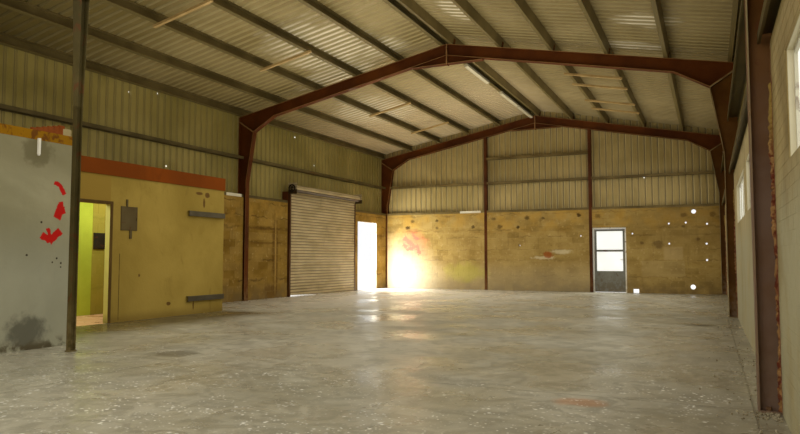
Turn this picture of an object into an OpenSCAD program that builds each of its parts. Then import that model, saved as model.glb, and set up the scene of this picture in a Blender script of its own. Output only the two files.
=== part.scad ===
// Portal frame factory hall: welded frames with haunches, block walls, profiled sheets.
// Millimetres, +Z up, +Y to the far gable, origin under the middle of the floor slab.

/* [Hall] */
// Distance between frames along the hall
bay = 8400; // [7200:100:10000]
// Width over the outer flanges of the columns
span = 11760; // [10800:20:16000]
// Thickness of the floor slab
slab_t = 100; // [80:10:250]
// Top of the rafter at the outer flange, above the floor
eaves_h = 4820; // [4400:20:7000]
// Roof pitch in degrees
pitch = 11.3; // [6:0.1:18]

/* [Portal frames] */
// Depth of the straight part of a column
column_d = 260; // [200:10:400]
// Depth of a column at the inner corner of its knee
knee_d = 475; // [420:5:600]
// Height of the inner knee corner above the floor
knee_h = 4400; // [3900:10:4500]
// Height above the floor where a column starts to widen
taper_h = 3100; // [2800:20:3600]
// Drop of the knee joint's outer end under the rafter top
knee_drop = 110; // [60:10:160]
// Depth of a rafter
rafter_d = 262; // [200:2:400]
// Length of the knee haunch, from the inner flange line of the column
knee_haunch_l = 850; // [600:10:1200]
// Half length of the ridge haunch
ridge_haunch_l = 850; // [500:10:1200]
// Depth of the ridge haunch under the rafter's own soffit at mid span
ridge_haunch_d = 196; // [120:2:300]
// Width of the flanges of columns and rafters
flange_w = 150; // [100:2:220]
// Thickness of the flanges
flange_t = 12; // [8:1:20]
// Thickness of the webs
web_t = 8; // [5:1:14]
// Thickness of the bolted end plates and base plates
plate_t = 16; // [10:1:25]
// Overhang of the prop's foot plate
foot_lip = 10; // [0:5:80]
// Width of the cleats that hold the purlins
cleat_w = 100; // [60:10:140]
// Height of those cleats
cleat_h = 140; // [100:10:140]
// Thickness of those cleats
cleat_t = 6; // [4:1:12]
// Clearance where a part is seated on or beside a sloping one
seat_gap = 0.2; // [0.1:0.1:1]

/* [Wall posts] */
// Distance of the left gable posts from the outside of the left wall
post_left_in = 4100; // [4050:10:4600]
// Distance of the right gable posts from the outside of the right wall
post_right_in = 4080; // [3700:10:4600]
// Flange width of a gable post
post_w = 100; // [80:5:160]
// Flange and web thickness of a gable post
post_t = 8; // [6:1:14]
// Width of the posts beside the shutter
shutter_post_w = 100; // [60:5:160]
// Flange width of the prop under the third frame
prop_w = 60; // [50:5:100]
// Depth of the prop
prop_d = 85; // [70:5:120]
// Flange width at the head of the prop
prop_head_w = 214; // [120:2:240]
// Depth of the head of the prop
prop_head_d = 150; // [130:5:180]
// Distance of the prop from the middle of the hall
prop_x = 1620; // [1200:10:1640]
// Height above the floor where the prop starts to widen
prop_taper_h = 2900; // [2400:50:3600]

/* [Purlins and girts] */
// Depth of a purlin
purlin_h = 200; // [150:5:260]
// Flange width of a purlin
purlin_b = 75; // [50:5:100]
// Lip of purlins and girts
lip = 20; // [12:1:30]
// Sheet thickness of purlins and girts
cold_t = 4; // [2:0.5:6]
// Purlins on each slope
purlin_n = 6; // [4:1:9]
// Distance of the eaves purlin from the column's outer flange
purlin_eaves = 80; // [60:5:140]
// Distance of the ridge purlin from the ridge
purlin_ridge = 150; // [120:5:240]
// Depth of the side girts
girt_d = 190; // [120:5:220]
// Flange height of a girt
girt_b = 75; // [50:5:100]
// Underside of the middle girt above the floor
mid_girt_h = 3700; // [3400:20:3900]
// Underside of the upper girt of the gables above the floor
top_girt_h = 4560; // [4300:20:4700]

/* [Sheeting] */
// Distance between the ribs of roof and wall sheets
rib_pitch = 200; // [150:5:300]
// Depth of a rib
rib_d = 35; // [20:1:50]
// Width of a rib at its crest
rib_crest = 40; // [20:1:60]
// Width of each sloping side of a rib
rib_side = 20; // [10:1:30]
// Thickness of the sheets
sheet_t = 4; // [1:0.5:8]
// How far the roof sheet runs past the gable sheets
roof_verge = 60; // [40:5:120]
// How far the roof sheet runs past the column's outer flange, along the slope
roof_eaves = 110; // [90:5:120]
// Gap between the roof sheets at the ridge, to each side
ridge_gap = 40; // [20:5:60]
// Leg of the ridge cap along each slope
cap_leg = 260; // [180:10:400]
// Thickness of caps, flashings and gutters
trim_t = 3; // [2:0.5:5]
// Leg of the verge flashings
flash_leg = 220; // [200:5:300]
// Gap between a verge flashing and the ridge cap
flash_gap = 20; // [10:5:40]
// Clearance between the top of the wall sheets and the roof sheet
sheet_clear = 2; // [1:1:6]
// Lap of the wall sheets over the blockwork
sheet_lap = 60; // [20:5:120]

/* [Gutters] */
// Width of a box gutter
gutter_w = 150; // [120:5:200]
// Depth of a box gutter
gutter_h = 120; // [90:5:160]
// Diameter of a downpipe
pipe_d = 90; // [70:5:120]
// Distance of a downpipe from the end of the hall
pipe_in = 500; // [400:50:2000]
// Height of a downpipe's open end above the ground
pipe_foot = 150; // [100:10:300]
// Width of the clips that hold a downpipe to the blockwork
pipe_clip_w = 20; // [12:2:24]
// Height of those clips
pipe_clip_h = 30; // [20:5:60]
// Drop of the gutters under the roof sheet's edge
gutter_drop = 12; // [6:1:20]

/* [Block walls] */
// Height of the block walls above the floor
block_h = 2700; // [2400:20:2900]
// Thickness of the left wall
left_wall_t = 190; // [120:5:230]
// Thickness of the right wall
right_wall_t = 110; // [90:5:190]
// Thickness of the gable walls
gable_wall_t = 140; // [100:5:150]

/* [Wall holes] */
// Diameter of the small holes knocked through the far gable's blockwork
hole_d = 60; // [30:5:90]
// Diameter of the old flue hole in that wall
flue_d = 140; // [120:10:200]
// Diameter of the pipe hole near the floor
drain_d = 150; // [80:10:180]
// Width of the gap beside the gable door's foot
slot_w = 180; // [80:10:240]
// Height of that gap
slot_h = 130; // [60:10:160]

/* [Windows] */
// Width of a window
window_w = 2800; // [1800:50:3200]
// Height of a window
window_h = 650; // [400:10:800]
// Sill height above the floor
sill_h = 1700; // [1500:10:1800]
// Distance between the two windows of a bay
window_gap = 600; // [400:20:800]
// Width of the window frame members
window_bar = 30; // [25:1:60]
// Thickness of the window frames
window_t = 45; // [30:1:60]
// Setback of the window frames from the wall's inner face
window_back = 40; // [20:1:40]
// Panes in a window
window_panes = 4; // [2:1:6]
// Thickness of window and door glass
glass_t = 6; // [4:1:10]

/* [Shutter] */
// Clear width of the shutter opening
shutter_w = 3780; // [2800:20:4200]
// Clear height of the shutter opening
shutter_h = 2960; // [2750:10:3100]
// Far side of the shutter opening, from the far gable frame
shutter_y = 2590; // [2450:10:3000]
// Height of a slat
slat_h = 87; // [75:1:120]
// Depth of a slat's curve
slat_bow = 14; // [8:1:20]
// Thickness of a slat
slat_t = 5; // [3:0.5:8]
// Width of a shutter guide
guide_w = 70; // [50:2:100]
// Depth of a shutter guide
guide_d = 60; // [40:2:80]
// Thickness of a guide and its lips
guide_t = 6; // [4:1:8]
// Radius of the roll on the barrel
roll_r = 105; // [90:1:130]
// Height of the roll's axis over the shutter opening
roll_up = 162; // [140:2:200]
// Gap between the roll and the curtain
roll_gap = 2; // [1:1:10]
// Height of the curtain's foot bar
foot_bar_h = 80; // [60:5:120]
// Thickness of the foot bar
foot_bar_t = 32; // [24:2:40]
// Height of the lowest slat's foot above the floor
slat_foot = 30; // [20:5:50]
// How far the near corner of the foot bar is worn away from the floor
curtain_lift = 45; // [5:5:50]
// Length of that wear along the foot bar
curtain_lift_l = 1900; // [800:100:2600]
// Radius of the barrel's shaft
shaft_r = 25; // [15:1:40]
// Height of the end plates that carry the barrel
roll_plate = 320; // [260:5:360]
// Depth of those plates from the wall
roll_plate_d = 300; // [260:5:340]

/* [Doors] */
// Width of the door opening in the far gable
gable_door_w = 1050; // [900:10:1200]
// Height of that opening
gable_door_h = 2100; // [2000:10:2200]
// Width of the doorway in the left wall
side_door_w = 1420; // [900:10:1500]
// Height of that doorway
side_door_h = 2380; // [2100:10:2500]
// Far side of that doorway, from the far gable frame
side_door_y = 840; // [400:10:900]
// Width of a door frame member
jamb_w = 45; // [30:1:60]
// Depth of a door frame
jamb_d = 100; // [60:5:140]
// Gap round the door leaf
leaf_gap = 7; // [5:0.5:12]
// Gap under the door leaf
leaf_foot = 14; // [8:1:25]
// Thickness of the door leaf
leaf_t = 42; // [35:1:60]
// Width of the leaf's stiles and rails
stile_w = 65; // [50:1:90]
// Middle of the leaf's middle rail above the floor
mid_rail_h = 1350; // [1200:10:1450]
// Top of the solid lower panel above the floor
low_panel_h = 690; // [500:10:900]
// Thickness of the solid lower panel
panel_t = 20; // [10:1:30]
// Radius of a hinge barrel
hinge_r = 10; // [8:0.5:14]
// Radius of a hinge pin
hinge_pin_r = 6; // [4:0.5:7]
// Running clearance of a hinge pin
hinge_play = 0.05; // [0.01:0.01:0.1]
// Length of each half of a hinge barrel
hinge_l = 60; // [40:2:80]
// How much shorter a pin is than both halves of its barrel
hinge_pin_short = 6; // [2:1:10]
// Height of the lowest hinge above the floor
hinge_low = 300; // [150:10:500]
// Height of the middle hinge above the floor
hinge_mid = 1000; // [700:10:1200]
// Height of the highest hinge above the floor
hinge_high = 1750; // [1400:10:1800]
// Clearance between the hinge barrels and the wall's outer face
hinge_stand = 5; // [3:1:10]
// Setback of the leaf from the wall's outer face
leaf_back = 4; // [2:1:8]
// Height of the rail under the lower panel
low_rail_h = 130; // [90:5:180]
// Height of the handle above the floor
handle_h = 1060; // [900:10:1150]
// Width of a handle plate
handle_plate_w = 40; // [30:1:45]
// Height of a handle plate
handle_plate_h = 180; // [120:5:220]
// Thickness of a handle plate
handle_plate_t = 6; // [4:1:10]
// Diameter of the handle spindle
spindle_d = 18; // [12:1:24]
// Length of a lever
lever_l = 119; // [90:1:140]
// Thickness of a lever, square to the leaf
lever_t = 14; // [10:1:18]
// Height of a lever's section
lever_h = 16; // [10:1:20]
// Distance of a lever's back from the leaf
lever_stand = 36; // [28:1:50]
// Thickness of the steel lining in the left doorway
lining_t = 6; // [4:1:10]

/* [Rooms] */
// Front of the office from the outside of the left wall
office_d = 1860; // [1500:20:2200]
// Far end of the office from the second frame, towards the near gable
office_y = 2830; // [2000:10:3600]
// Height of the office walls above the floor
office_h = 2800; // [2500:10:2900]
// Thickness of the office walls
office_t = 110; // [90:5:160]
// Height of the painted board along the top of the office
fascia_h = 260; // [150:10:350]
// Thickness of that board
fascia_t = 18; // [10:1:30]
// Width of the office doorway
office_door_w = 960; // [750:10:1100]
// Height of the office and store doorways
office_door_h = 2040; // [1950:10:2200]
// Near side of the office doorway from the store's end wall
office_door_in = 1260; // [900:10:1700]
// Thickness of the office roof deck
office_roof_t = 90; // [50:5:150]
// Front of the store room from the outside of the left wall
store_d = 3680; // [3000:20:3900]
// End wall of the store room from the third frame, towards the far gable
store_y = 410; // [300:10:900]
// Height of the store walls above the floor
store_h = 2580; // [2300:10:2700]
// Thickness of the store walls
store_t = 150; // [100:5:200]
// Width of the store doorway
store_door_w = 900; // [750:10:1200]
// Near side of the store doorway from the near gable frame
store_door_in = 1500; // [800:50:4000]
// Height of the steel channel on the store's front wall
store_beam_h = 120; // [80:5:160]

/* [Fittings] */
// Width of the bars under the purlins
batten_w = 60; // [40:5:140]
// Height of those bars
batten_h = 45; // [25:5:80]
// How far those bars run past the purlins
batten_over = 60; // [20:5:100]
// Length of a lamp under the ridge
lamp_l = 1800; // [1200:50:2400]
// Width of a lamp
lamp_w = 90; // [60:5:120]
// Height of a lamp
lamp_h = 70; // [50:5:100]
// Height of the rails on the office front
rail_h = 100; // [60:5:140]
// Length of those rails
rail_l = 1060; // [600:20:1400]
// Depth of those rails
rail_d = 50; // [30:5:80]
// Distance of those rails from the far end of the office
rail_in = 10; // [0:5:100]
// Height of the lower rail above the floor
rail_low = 260; // [100:10:800]
// Height of the upper rail above the floor
rail_high = 1950; // [1200:10:2200]

/* [Hidden] */
$fn = 48;

eps = 0.01;
over = 1;
weld_in = 2;
bays = 3;
half_span = span / 2;
post_left = half_span - post_left_in;
post_right = half_span - post_right_in;
frame_y = [for (k = [0 : bays]) (k - bays / 2) * bay];
near_y = frame_y[0];
far_y = frame_y[bays];
end_y = far_y + flange_w / 2;
floor_z = slab_t;
slope = tan(pitch);
eaves_z = floor_z + eaves_h;
rafter_v = rafter_d / cos(pitch);
inner_x = half_span - column_d;
block_z = floor_z + block_h;
knee = [half_span - knee_d, floor_z + knee_h];
knee_out = [half_span, eaves_z - knee_drop];
knee_rise = (knee_out[1] - knee[1]) / (knee_out[0] - knee[0]);
knee_dir = (knee_out - knee) / norm(knee_out - knee);
plate_drop = plate_t / knee_dir[0];
inner_top = knee[1] - plate_drop;
taper_z = floor_z + taper_h;
haunch_x = inner_x - knee_haunch_l;
ridge_soffit = rafter_top(0) - rafter_v - ridge_haunch_d;
slope_l = half_span / cos(pitch);
sheet_depth = rib_d + sheet_t;
clip_in = 0.8 * trim_t;
clip_at = [0.33, 0.8];
roof_y = end_y + sheet_depth + roof_verge;
deck_w = purlin_h + seat_gap;
purlin_step = (half_span - purlin_eaves - purlin_ridge) / (purlin_n - 1);
purlin_u = [for (i = [0 : purlin_n - 1]) (purlin_eaves + i * purlin_step) / cos(pitch)];
shutter_far = far_y - shutter_y;
shutter_near = shutter_far - shutter_w;
side_door_far = far_y - side_door_y;
side_door_near = side_door_far - side_door_w;
left_face = half_span - left_wall_t;
gable_door_0 = post_right + post_w / 2;
gable_door_1 = gable_door_0 + gable_door_w;
middle_panel = [post_w / 2 - post_left, post_right - post_w / 2];
right_panel = [gable_door_1, inner_x];
leaf_0 = gable_door_0 + jamb_w + leaf_gap;
leaf_1 = gable_door_1 - jamb_w - leaf_gap;
leaf_top = floor_z + gable_door_h - jamb_w - leaf_gap;
leaf_out = end_y - leaf_back;
hinge_x = leaf_0 - leaf_gap / 2;
hinge_y = end_y + hinge_r + hinge_stand;
hinge_z = [floor_z + hinge_low, floor_z + hinge_mid, floor_z + hinge_high];
curtain_x = left_face - guide_d / 2 - slat_bow / 2;
roll_x = curtain_x - slat_bow / 2 - slat_t - roll_gap - roll_r;
roll_z = floor_z + shutter_h + roll_up;
slat_rise = 0.02;
slat_n = ceil((shutter_h + roll_up - slat_foot) / slat_h);
office_x = half_span - office_d;
store_x = half_span - store_d;
office_far = frame_y[2] - office_y;
store_end = frame_y[1] + store_y;
office_door_near = store_end + office_door_in;
store_door_near = near_y + store_door_in;
window_near = [for (k = [0 : bays - 1], j = [-1, 0])
  frame_y[k] + (bay + window_gap) / 2 + j * (window_w + window_gap)];
// Holes of the far gable: share of the panel's width from its left end, and height above the floor
right_hole_share = [0.07, 0.47, 0.47, 0.65, 0.87, 0.86, 0.86];
right_hole_h = [1890, 2190, 1560, 2210, 2160, 1550, 1050];
middle_hole_share = [0.92, 0.33];
middle_hole_h = [1840, 1540];
flue_share = 0.735;
flue_h = 2550;
drain_share = 0.71;
drain_h = 220;
slot_share = 0.1;

// Height of the rafter's top face at a distance x from the ridge line
function rafter_top(x) = floor_z + eaves_h + (half_span - x) * tan(pitch);

// Height of the roof sheet's underside at a distance x from the ridge line
function deck_under(x) = rafter_top(x) + deck_w / cos(pitch);

// Inner face of a column at height z
function column_inner(z) = z < taper_z ? inner_x
  : inner_x - (inner_x - knee[0]) * (z - taper_z) / (inner_top - taper_z);

// Outline of a profiled sheet, l long, with its flat side at y = 0
function rib_line(l) = let (n = floor(l / rib_pitch), foot = rib_crest + 2 * rib_side,
    start = (l - n * rib_pitch + rib_pitch - foot) / 2)
  concat([[0, 0]],
    [for (i = [0 : n - 1]) for (p = [[0, 0], [rib_side, rib_d],
      [rib_side + rib_crest, rib_d], [foot, 0]]) [start + i * rib_pitch + p[0], p[1]]],
    [[l, 0]]);
function reversed(v) = [for (i = [len(v) - 1 : -1 : 0]) v[i]];
function sheet_outline(l) = let (line = rib_line(l))
  concat([for (p = line) [p[0], p[1] + sheet_t]], reversed(line));

// Outline of a lipped channel, h deep and b wide, open towards +x
function channel(h, b, t) = [[0, 0], [b, 0], [b, lip], [b - t, lip], [b - t, t], [t, t],
  [t, h - t], [b - t, h - t], [b - t, h - lip], [b, h - lip], [b, h], [0, h]];

// Place at a share of the way between a panel's ends
function along(ends, share) = ends[0] + share * (ends[1] - ends[0]);

// Extrudes an XZ outline along Y, centred on y = 0
module along_y(l) { rotate([90, 0, 0]) linear_extrude(height = l, center = true) children(); }

// Places children drawn with x up the slope, z square to it, on the right slope
module on_slope() {
  translate([half_span, 0, eaves_z]) rotate([0, pitch, 0]) mirror([1, 0, 0]) children();
}

module at_frames() { for (y = frame_y) translate([0, y, 0]) children(); }

module box(x0, x1, y0, y1, z0, z1) {
  translate([x0, y0, z0]) cube([x1 - x0, y1 - y0, z1 - z0]);
}

// Right column with its tapered head, knee plate and base plate
module column() {
  base = floor_z + plate_t;
  outer_top = knee_out[1] - plate_drop;
  web_in = [[half_span, base], [inner_x, base], [inner_x, taper_z],
    [knee[0], inner_top], [half_span, outer_top]];
  along_y(web_t) polygon(web_in);
  along_y(flange_w) polygon([[half_span - flange_t, base], [half_span, base],
    [half_span, outer_top], [half_span - flange_t, outer_top - flange_t * knee_rise]]);
  along_y(flange_w) polygon([[inner_x, base], [inner_x + flange_t, base],
    [inner_x + flange_t, taper_z], [knee[0] + flange_t, inner_top + flange_t * knee_rise],
    [knee[0], inner_top], [inner_x, taper_z]]);
  along_y(flange_w) polygon([knee, [knee[0], inner_top], [half_span, outer_top], knee_out]);
  box(inner_x, half_span, -flange_w / 2, flange_w / 2, floor_z, base);
}

// Right rafter with knee haunch, ridge haunch, bolted end plates and purlin cleats
module rafter() {
  soffit_h = rafter_top(haunch_x) - rafter_v;
  soffit_r = rafter_top(ridge_haunch_l) - rafter_v;
  knee_up = [knee[0], knee[1] + plate_drop];
  web = [knee, knee_out, [half_span, eaves_z], [0, rafter_top(0)], [0, ridge_soffit],
    [ridge_haunch_l, ridge_soffit], [ridge_haunch_l, soffit_r], [haunch_x, soffit_h]];
  ft = flange_t / cos(pitch);
  along_y(web_t) polygon(web);
  along_y(flange_w) polygon([[half_span, eaves_z], [0, rafter_top(0)],
    [0, rafter_top(0) - ft], [half_span, eaves_z - ft]]);
  along_y(flange_w) polygon([knee_up, [haunch_x, soffit_h + ft], [0, rafter_top(0) - rafter_v + ft],
    [0, rafter_top(0) - rafter_v], [haunch_x, soffit_h], knee]);
  along_y(flange_w) polygon([knee, knee_out, [half_span, knee_out[1] + plate_drop], knee_up]);
  along_y(flange_w) polygon([[0, ridge_soffit], [ridge_haunch_l, ridge_soffit],
    [ridge_haunch_l, ridge_soffit + flange_t], [0, ridge_soffit + flange_t]]);
  along_y(flange_w) polygon([[0, ridge_soffit - plate_t], [plate_t, ridge_soffit - plate_t],
    [plate_t, rafter_top(plate_t)], [0, rafter_top(0)]]);
  along_y(flange_w) polygon([[half_span - flange_t, knee_out[1]], knee_out,
    [half_span, eaves_z], [half_span - flange_t, eaves_z]]);
  on_slope() for (u = purlin_u) translate([u - cleat_t - seat_gap, -cleat_w / 2, -weld_in])
    cube([cleat_t, cleat_w, cleat_h + weld_in]);
}

module floor_slab() color("gray") box(-half_span, half_span, -end_y, end_y, 0, slab_t);
module right_columns() color("saddlebrown") at_frames() column();
module left_columns() color("saddlebrown") mirror([1, 0, 0]) at_frames() column();
module right_rafters() color("saddlebrown") at_frames() rafter();
module left_rafters() color("saddlebrown") mirror([1, 0, 0]) at_frames() rafter();

// I-section post, w wide along X and as deep as a frame is wide
module gable_post(x) {
  for (s = [-1, 1]) intersection() {
    box(x - post_w / 2, x + post_w / 2, min(s * flange_w / 2, s * (flange_w / 2 - post_t)),
      max(s * flange_w / 2, s * (flange_w / 2 - post_t)), floor_z, rafter_top(0));
    under_rafter();
  }
  intersection() {
    box(x - post_t / 2, x + post_t / 2, -flange_w / 2, flange_w / 2, floor_z, rafter_top(0));
    under_rafter();
  }
}

// Space below the plain soffit of the rafters
module under_rafter() {
  along_y(2 * flange_w) polygon([[-half_span, 0], [half_span, 0],
    [half_span, rafter_top(half_span) - rafter_v], [0, rafter_top(0) - rafter_v],
    [-half_span, rafter_top(half_span) - rafter_v]]);
}

module wall_posts() color("saddlebrown") {
  for (y = [near_y, far_y], x = [-post_left, post_right]) translate([0, y, 0]) gable_post(x);
  for (y = [shutter_near - shutter_post_w, shutter_far]) shutter_post(y);
}

// Hollow post beside the shutter, capped at the top of the lintel
module shutter_post(y) difference() {
  top = floor_z + shutter_h + girt_b;
  box(-half_span, -left_face, y, y + shutter_post_w, floor_z, top);
  box(-half_span + post_t, -left_face - post_t, y + post_t, y + shutter_post_w - post_t,
    floor_z - over, top - post_t);
}

// I-section prop with a widened head and a foot plate, under the rafter of the second frame
module rafter_prop() color("dimgray") translate([-prop_x, frame_y[1], 0]) {
  foot = floor_z + plate_t;
  bend = floor_z + prop_taper_h;
  low = rafter_top(prop_x + prop_head_w / 2) - rafter_v;
  high = rafter_top(prop_x - prop_head_w / 2) - rafter_v;
  difference() {
    intersection() {
      along_y(2 * prop_head_d) polygon([[-prop_w / 2, foot], [prop_w / 2, foot], [prop_w / 2, bend],
        [prop_head_w / 2, high], [-prop_head_w / 2, low], [-prop_w / 2, bend]]);
      prop_side(2 * prop_head_w, 0, foot, bend, high + over);
    }
    for (s = [-1, 1]) translate([s * (prop_head_w + web_t / 2), 0, 0])
      prop_side(2 * prop_head_w, flange_t, foot - over, bend, high + over);
  }
  translate([0, 0, floor_z + plate_t / 2]) cube([prop_w + 2 * foot_lip, prop_d + 2 * foot_lip, plate_t],
    center = true);
}

// Side outline of the prop drawn in by a margin, l thick along X
module prop_side(l, margin, z0, z1, z2) rotate([90, 0, 90]) linear_extrude(height = l, center = true)
  polygon([[margin - prop_d / 2, z0], [prop_d / 2 - margin, z0], [prop_d / 2 - margin, z1],
    [prop_head_d / 2 - margin, z2], [margin - prop_head_d / 2, z2], [margin - prop_d / 2, z1]]);

module purlins() {
  on_slope() for (u = purlin_u) translate([u, 0, seat_gap]) along_y(2 * end_y)
    polygon(channel(purlin_h, purlin_b, cold_t));
}
module right_purlins() color("darkseagreen") purlins();
module left_purlins() color("darkseagreen") mirror([1, 0, 0]) purlins();

// Girt outline for the right wall: web on top, toes down, outer face at the sheeting
module side_girt(y0, y1, z) {
  translate([half_span - girt_d, (y0 + y1) / 2, z + girt_b]) along_y(y1 - y0) mirror([0, 1, 0])
    rotate(90) mirror([0, 1, 0]) polygon(channel(girt_d, girt_b, cold_t));
}

module bay_girts(z) {
  for (k = [0 : bays - 1]) side_girt(frame_y[k] + flange_w / 2, frame_y[k + 1] - flange_w / 2, z);
}

module right_girts() color("darkseagreen") {
  bay_girts(block_z);
  bay_girts(floor_z + mid_girt_h);
}

module left_girts() color("darkseagreen") mirror([1, 0, 0]) {
  bay_girts(floor_z + mid_girt_h);
  for (k = [0 : bays - 2])
    side_girt(frame_y[k] + flange_w / 2, frame_y[k + 1] - flange_w / 2, block_z);
  side_girt(frame_y[bays - 1] + flange_w / 2, shutter_near - shutter_post_w, block_z);
  side_girt(shutter_far + shutter_post_w, far_y - flange_w / 2, block_z);
  side_girt(shutter_near, shutter_far, floor_z + shutter_h);
}

// Girt of the far gable between x0 and x1, with its outer face at the sheeting
module gable_girt(x0, x1, z) {
  translate([x0, end_y, z + girt_b]) rotate([90, 0, 90]) linear_extrude(height = x1 - x0)
    mirror([0, 1, 0]) rotate(90) polygon(channel(flange_w, girt_b, cold_t));
}

module gable_girts() color("darkseagreen") for (m = [0, 1]) mirror([0, m, 0]) {
  for (z = [block_z, floor_z + mid_girt_h]) {
    for (s = [0, 1]) mirror([s, 0, 0]) gable_girt((s == 0 ? post_right : post_left) + post_w / 2,
      column_inner(z + girt_b) - seat_gap, z);
    gable_girt(-post_left + post_w / 2, post_right - post_w / 2, z);
  }
  gable_girt(-post_left + post_w / 2, post_right - post_w / 2, floor_z + top_girt_h);
}

// Profiled roof sheet of one slope, ribs running up the slope
module roof_sheet() {
  on_slope() translate([-roof_eaves, -roof_y, deck_w]) rotate([90, 0, 90])
    linear_extrude(height = slope_l + roof_eaves - ridge_gap) polygon(sheet_outline(2 * roof_y));
}
module right_roof_sheet() color("silver") roof_sheet();
module left_roof_sheet() color("silver") mirror([1, 0, 0]) roof_sheet();

module ridge_cap() color("silver") {
  over = (deck_w + sheet_depth + seat_gap) / cos(pitch);
  along_y(2 * roof_y) polygon([
    [-cap_leg, rafter_top(cap_leg) + over], [0, rafter_top(0) + over],
    [cap_leg, rafter_top(cap_leg) + over], [cap_leg, rafter_top(cap_leg) + over + trim_t],
    [0, rafter_top(0) + over + trim_t], [-cap_leg, rafter_top(cap_leg) + over + trim_t]]);
}

// Angle along the verge of the right slope at the far gable
module verge_flashing() {
  top = deck_w + sheet_depth;
  on_slope() translate([-roof_eaves, 0, 0]) rotate([90, 0, 90])
    linear_extrude(height = slope_l + roof_eaves - cap_leg / cos(pitch) - flash_gap)
      polygon([[roof_y - flash_leg, top], [roof_y, top], [roof_y, top - flash_leg],
        [roof_y + trim_t, top - flash_leg], [roof_y + trim_t, top + trim_t],
        [roof_y - flash_leg, top + trim_t]]);
}

// Angle over the corner of the right and far wall sheets
module corner_flashing() {
  ox = half_span + sheet_depth;
  oy = end_y + sheet_depth;
  top = eaves_z;
  leg = flash_leg + sheet_depth;
  translate([0, 0, block_z - sheet_lap]) linear_extrude(height = top - block_z + sheet_lap)
    polygon([[ox - leg, oy], [ox, oy], [ox, oy - leg], [ox + trim_t, oy - leg],
      [ox + trim_t, oy + trim_t], [ox - leg, oy + trim_t]]);
}

module flashings() color("silver") for (i = [0, 1], j = [0, 1])
  mirror([i, 0, 0]) mirror([0, j, 0]) {
    verge_flashing();
    corner_flashing();
  }

// Box gutter with two downpipes on the right wall
module gutter() {
  gx = half_span + sheet_depth;
  gz = deck_under(half_span + roof_eaves) - gutter_drop - gutter_h;
  along_y(2 * roof_y) polygon([[gx, gz], [gx + gutter_w, gz], [gx + gutter_w, gz + gutter_h],
    [gx + gutter_w - trim_t, gz + gutter_h], [gx + gutter_w - trim_t, gz + trim_t],
    [gx + trim_t, gz + trim_t], [gx + trim_t, gz + gutter_h], [gx, gz + gutter_h]]);
  for (s = [-1, 1]) translate([gx + pipe_d / 2 + trim_t, s * (end_y - pipe_in), 0]) {
    translate([0, 0, pipe_foot]) difference() {
      cylinder(d = pipe_d, h = gz - pipe_foot - seat_gap);
      translate([0, 0, -over]) cylinder(d = pipe_d - 2 * trim_t, h = gz - pipe_foot + 2 * over);
    }
    for (share = clip_at, z = share * block_z)
      box(-pipe_d / 2 - trim_t - sheet_depth, clip_in - pipe_d / 2, -pipe_clip_w / 2,
        pipe_clip_w / 2, z, z + pipe_clip_h);
  }
}
module gutters() color("gainsboro") for (m = [0, 1]) mirror([m, 0, 0]) gutter();

// Profiled sheet of the right wall
module side_sheet() {
  top = deck_under(half_span) - sheet_depth * slope - sheet_clear;
  translate([half_span, end_y, block_z - sheet_lap]) rotate(-90)
    linear_extrude(height = top - block_z + sheet_lap) polygon(sheet_outline(2 * end_y));
}
module right_wall_sheet() color("beige") side_sheet();
module left_wall_sheet() color("beige") difference() {
  mirror([1, 0, 0]) side_sheet();
  box(-half_span - 2 * sheet_depth, -half_span + over, shutter_near - shutter_post_w / 2,
    shutter_far + shutter_post_w / 2, 0, floor_z + shutter_h);
}

module gable_sheet() {
  low = block_z - sheet_lap;
  side = half_span + over;
  intersection() {
    translate([-half_span, end_y, low]) linear_extrude(height = deck_under(0) - low)
      polygon(sheet_outline(span));
    translate([0, end_y + sheet_depth / 2, 0]) along_y(2 * sheet_depth) polygon([
      [-side, 0], [side, 0], [side, deck_under(side) - sheet_clear],
      [0, deck_under(0) - sheet_clear], [-side, deck_under(side) - sheet_clear]]);
  }
}
module gable_sheets() color("beige") for (m = [0, 1]) mirror([0, m, 0]) gable_sheet();

module left_block_wall() color("burlywood") {
  for (k = [0 : bays - 2]) box(-half_span, -left_face, frame_y[k] + flange_w / 2,
    frame_y[k + 1] - flange_w / 2, floor_z, block_z);
  box(-half_span, -left_face, frame_y[bays - 1] + flange_w / 2, shutter_near - shutter_post_w,
    floor_z, block_z);
  box(-half_span, -left_face, shutter_far + shutter_post_w, side_door_near, floor_z, block_z);
  box(-half_span, -left_face, side_door_far, far_y - flange_w / 2, floor_z, block_z);
}

module right_block_wall() color("wheat") difference() {
  for (k = [0 : bays - 1]) box(half_span - right_wall_t, half_span, frame_y[k] + flange_w / 2,
    frame_y[k + 1] - flange_w / 2, floor_z, block_z);
  for (y = window_near) box(half_span - right_wall_t - over, half_span + over, y, y + window_w,
    floor_z + sill_h, floor_z + sill_h + window_h);
}

module gable_panel(x0, x1) { box(x0, x1, end_y - gable_wall_t, end_y, floor_z, block_z); }

module gable_block_walls() color("burlywood") {
  difference() {
    for (m = [0, 1]) mirror([0, m, 0]) {
      gable_panel(-inner_x, -post_left - post_w / 2);
      gable_panel(middle_panel[0], middle_panel[1]);
      gable_panel(m == 0 ? gable_door_1 : gable_door_0, inner_x);
    }
    for (i = [0 : len(middle_hole_h) - 1])
      gable_hole(middle_panel, middle_hole_share[i], middle_hole_h[i], hole_d);
    for (i = [0 : len(right_hole_h) - 1])
      gable_hole(right_panel, right_hole_share[i], right_hole_h[i], hole_d);
    gable_hole(right_panel, flue_share, flue_h, flue_d);
    gable_hole(right_panel, drain_share, drain_h, drain_d);
    translate([along(right_panel, slot_share), end_y, floor_z])
      cube([slot_w, 3 * gable_wall_t, 2 * slot_h], center = true);
  }
}

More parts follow.
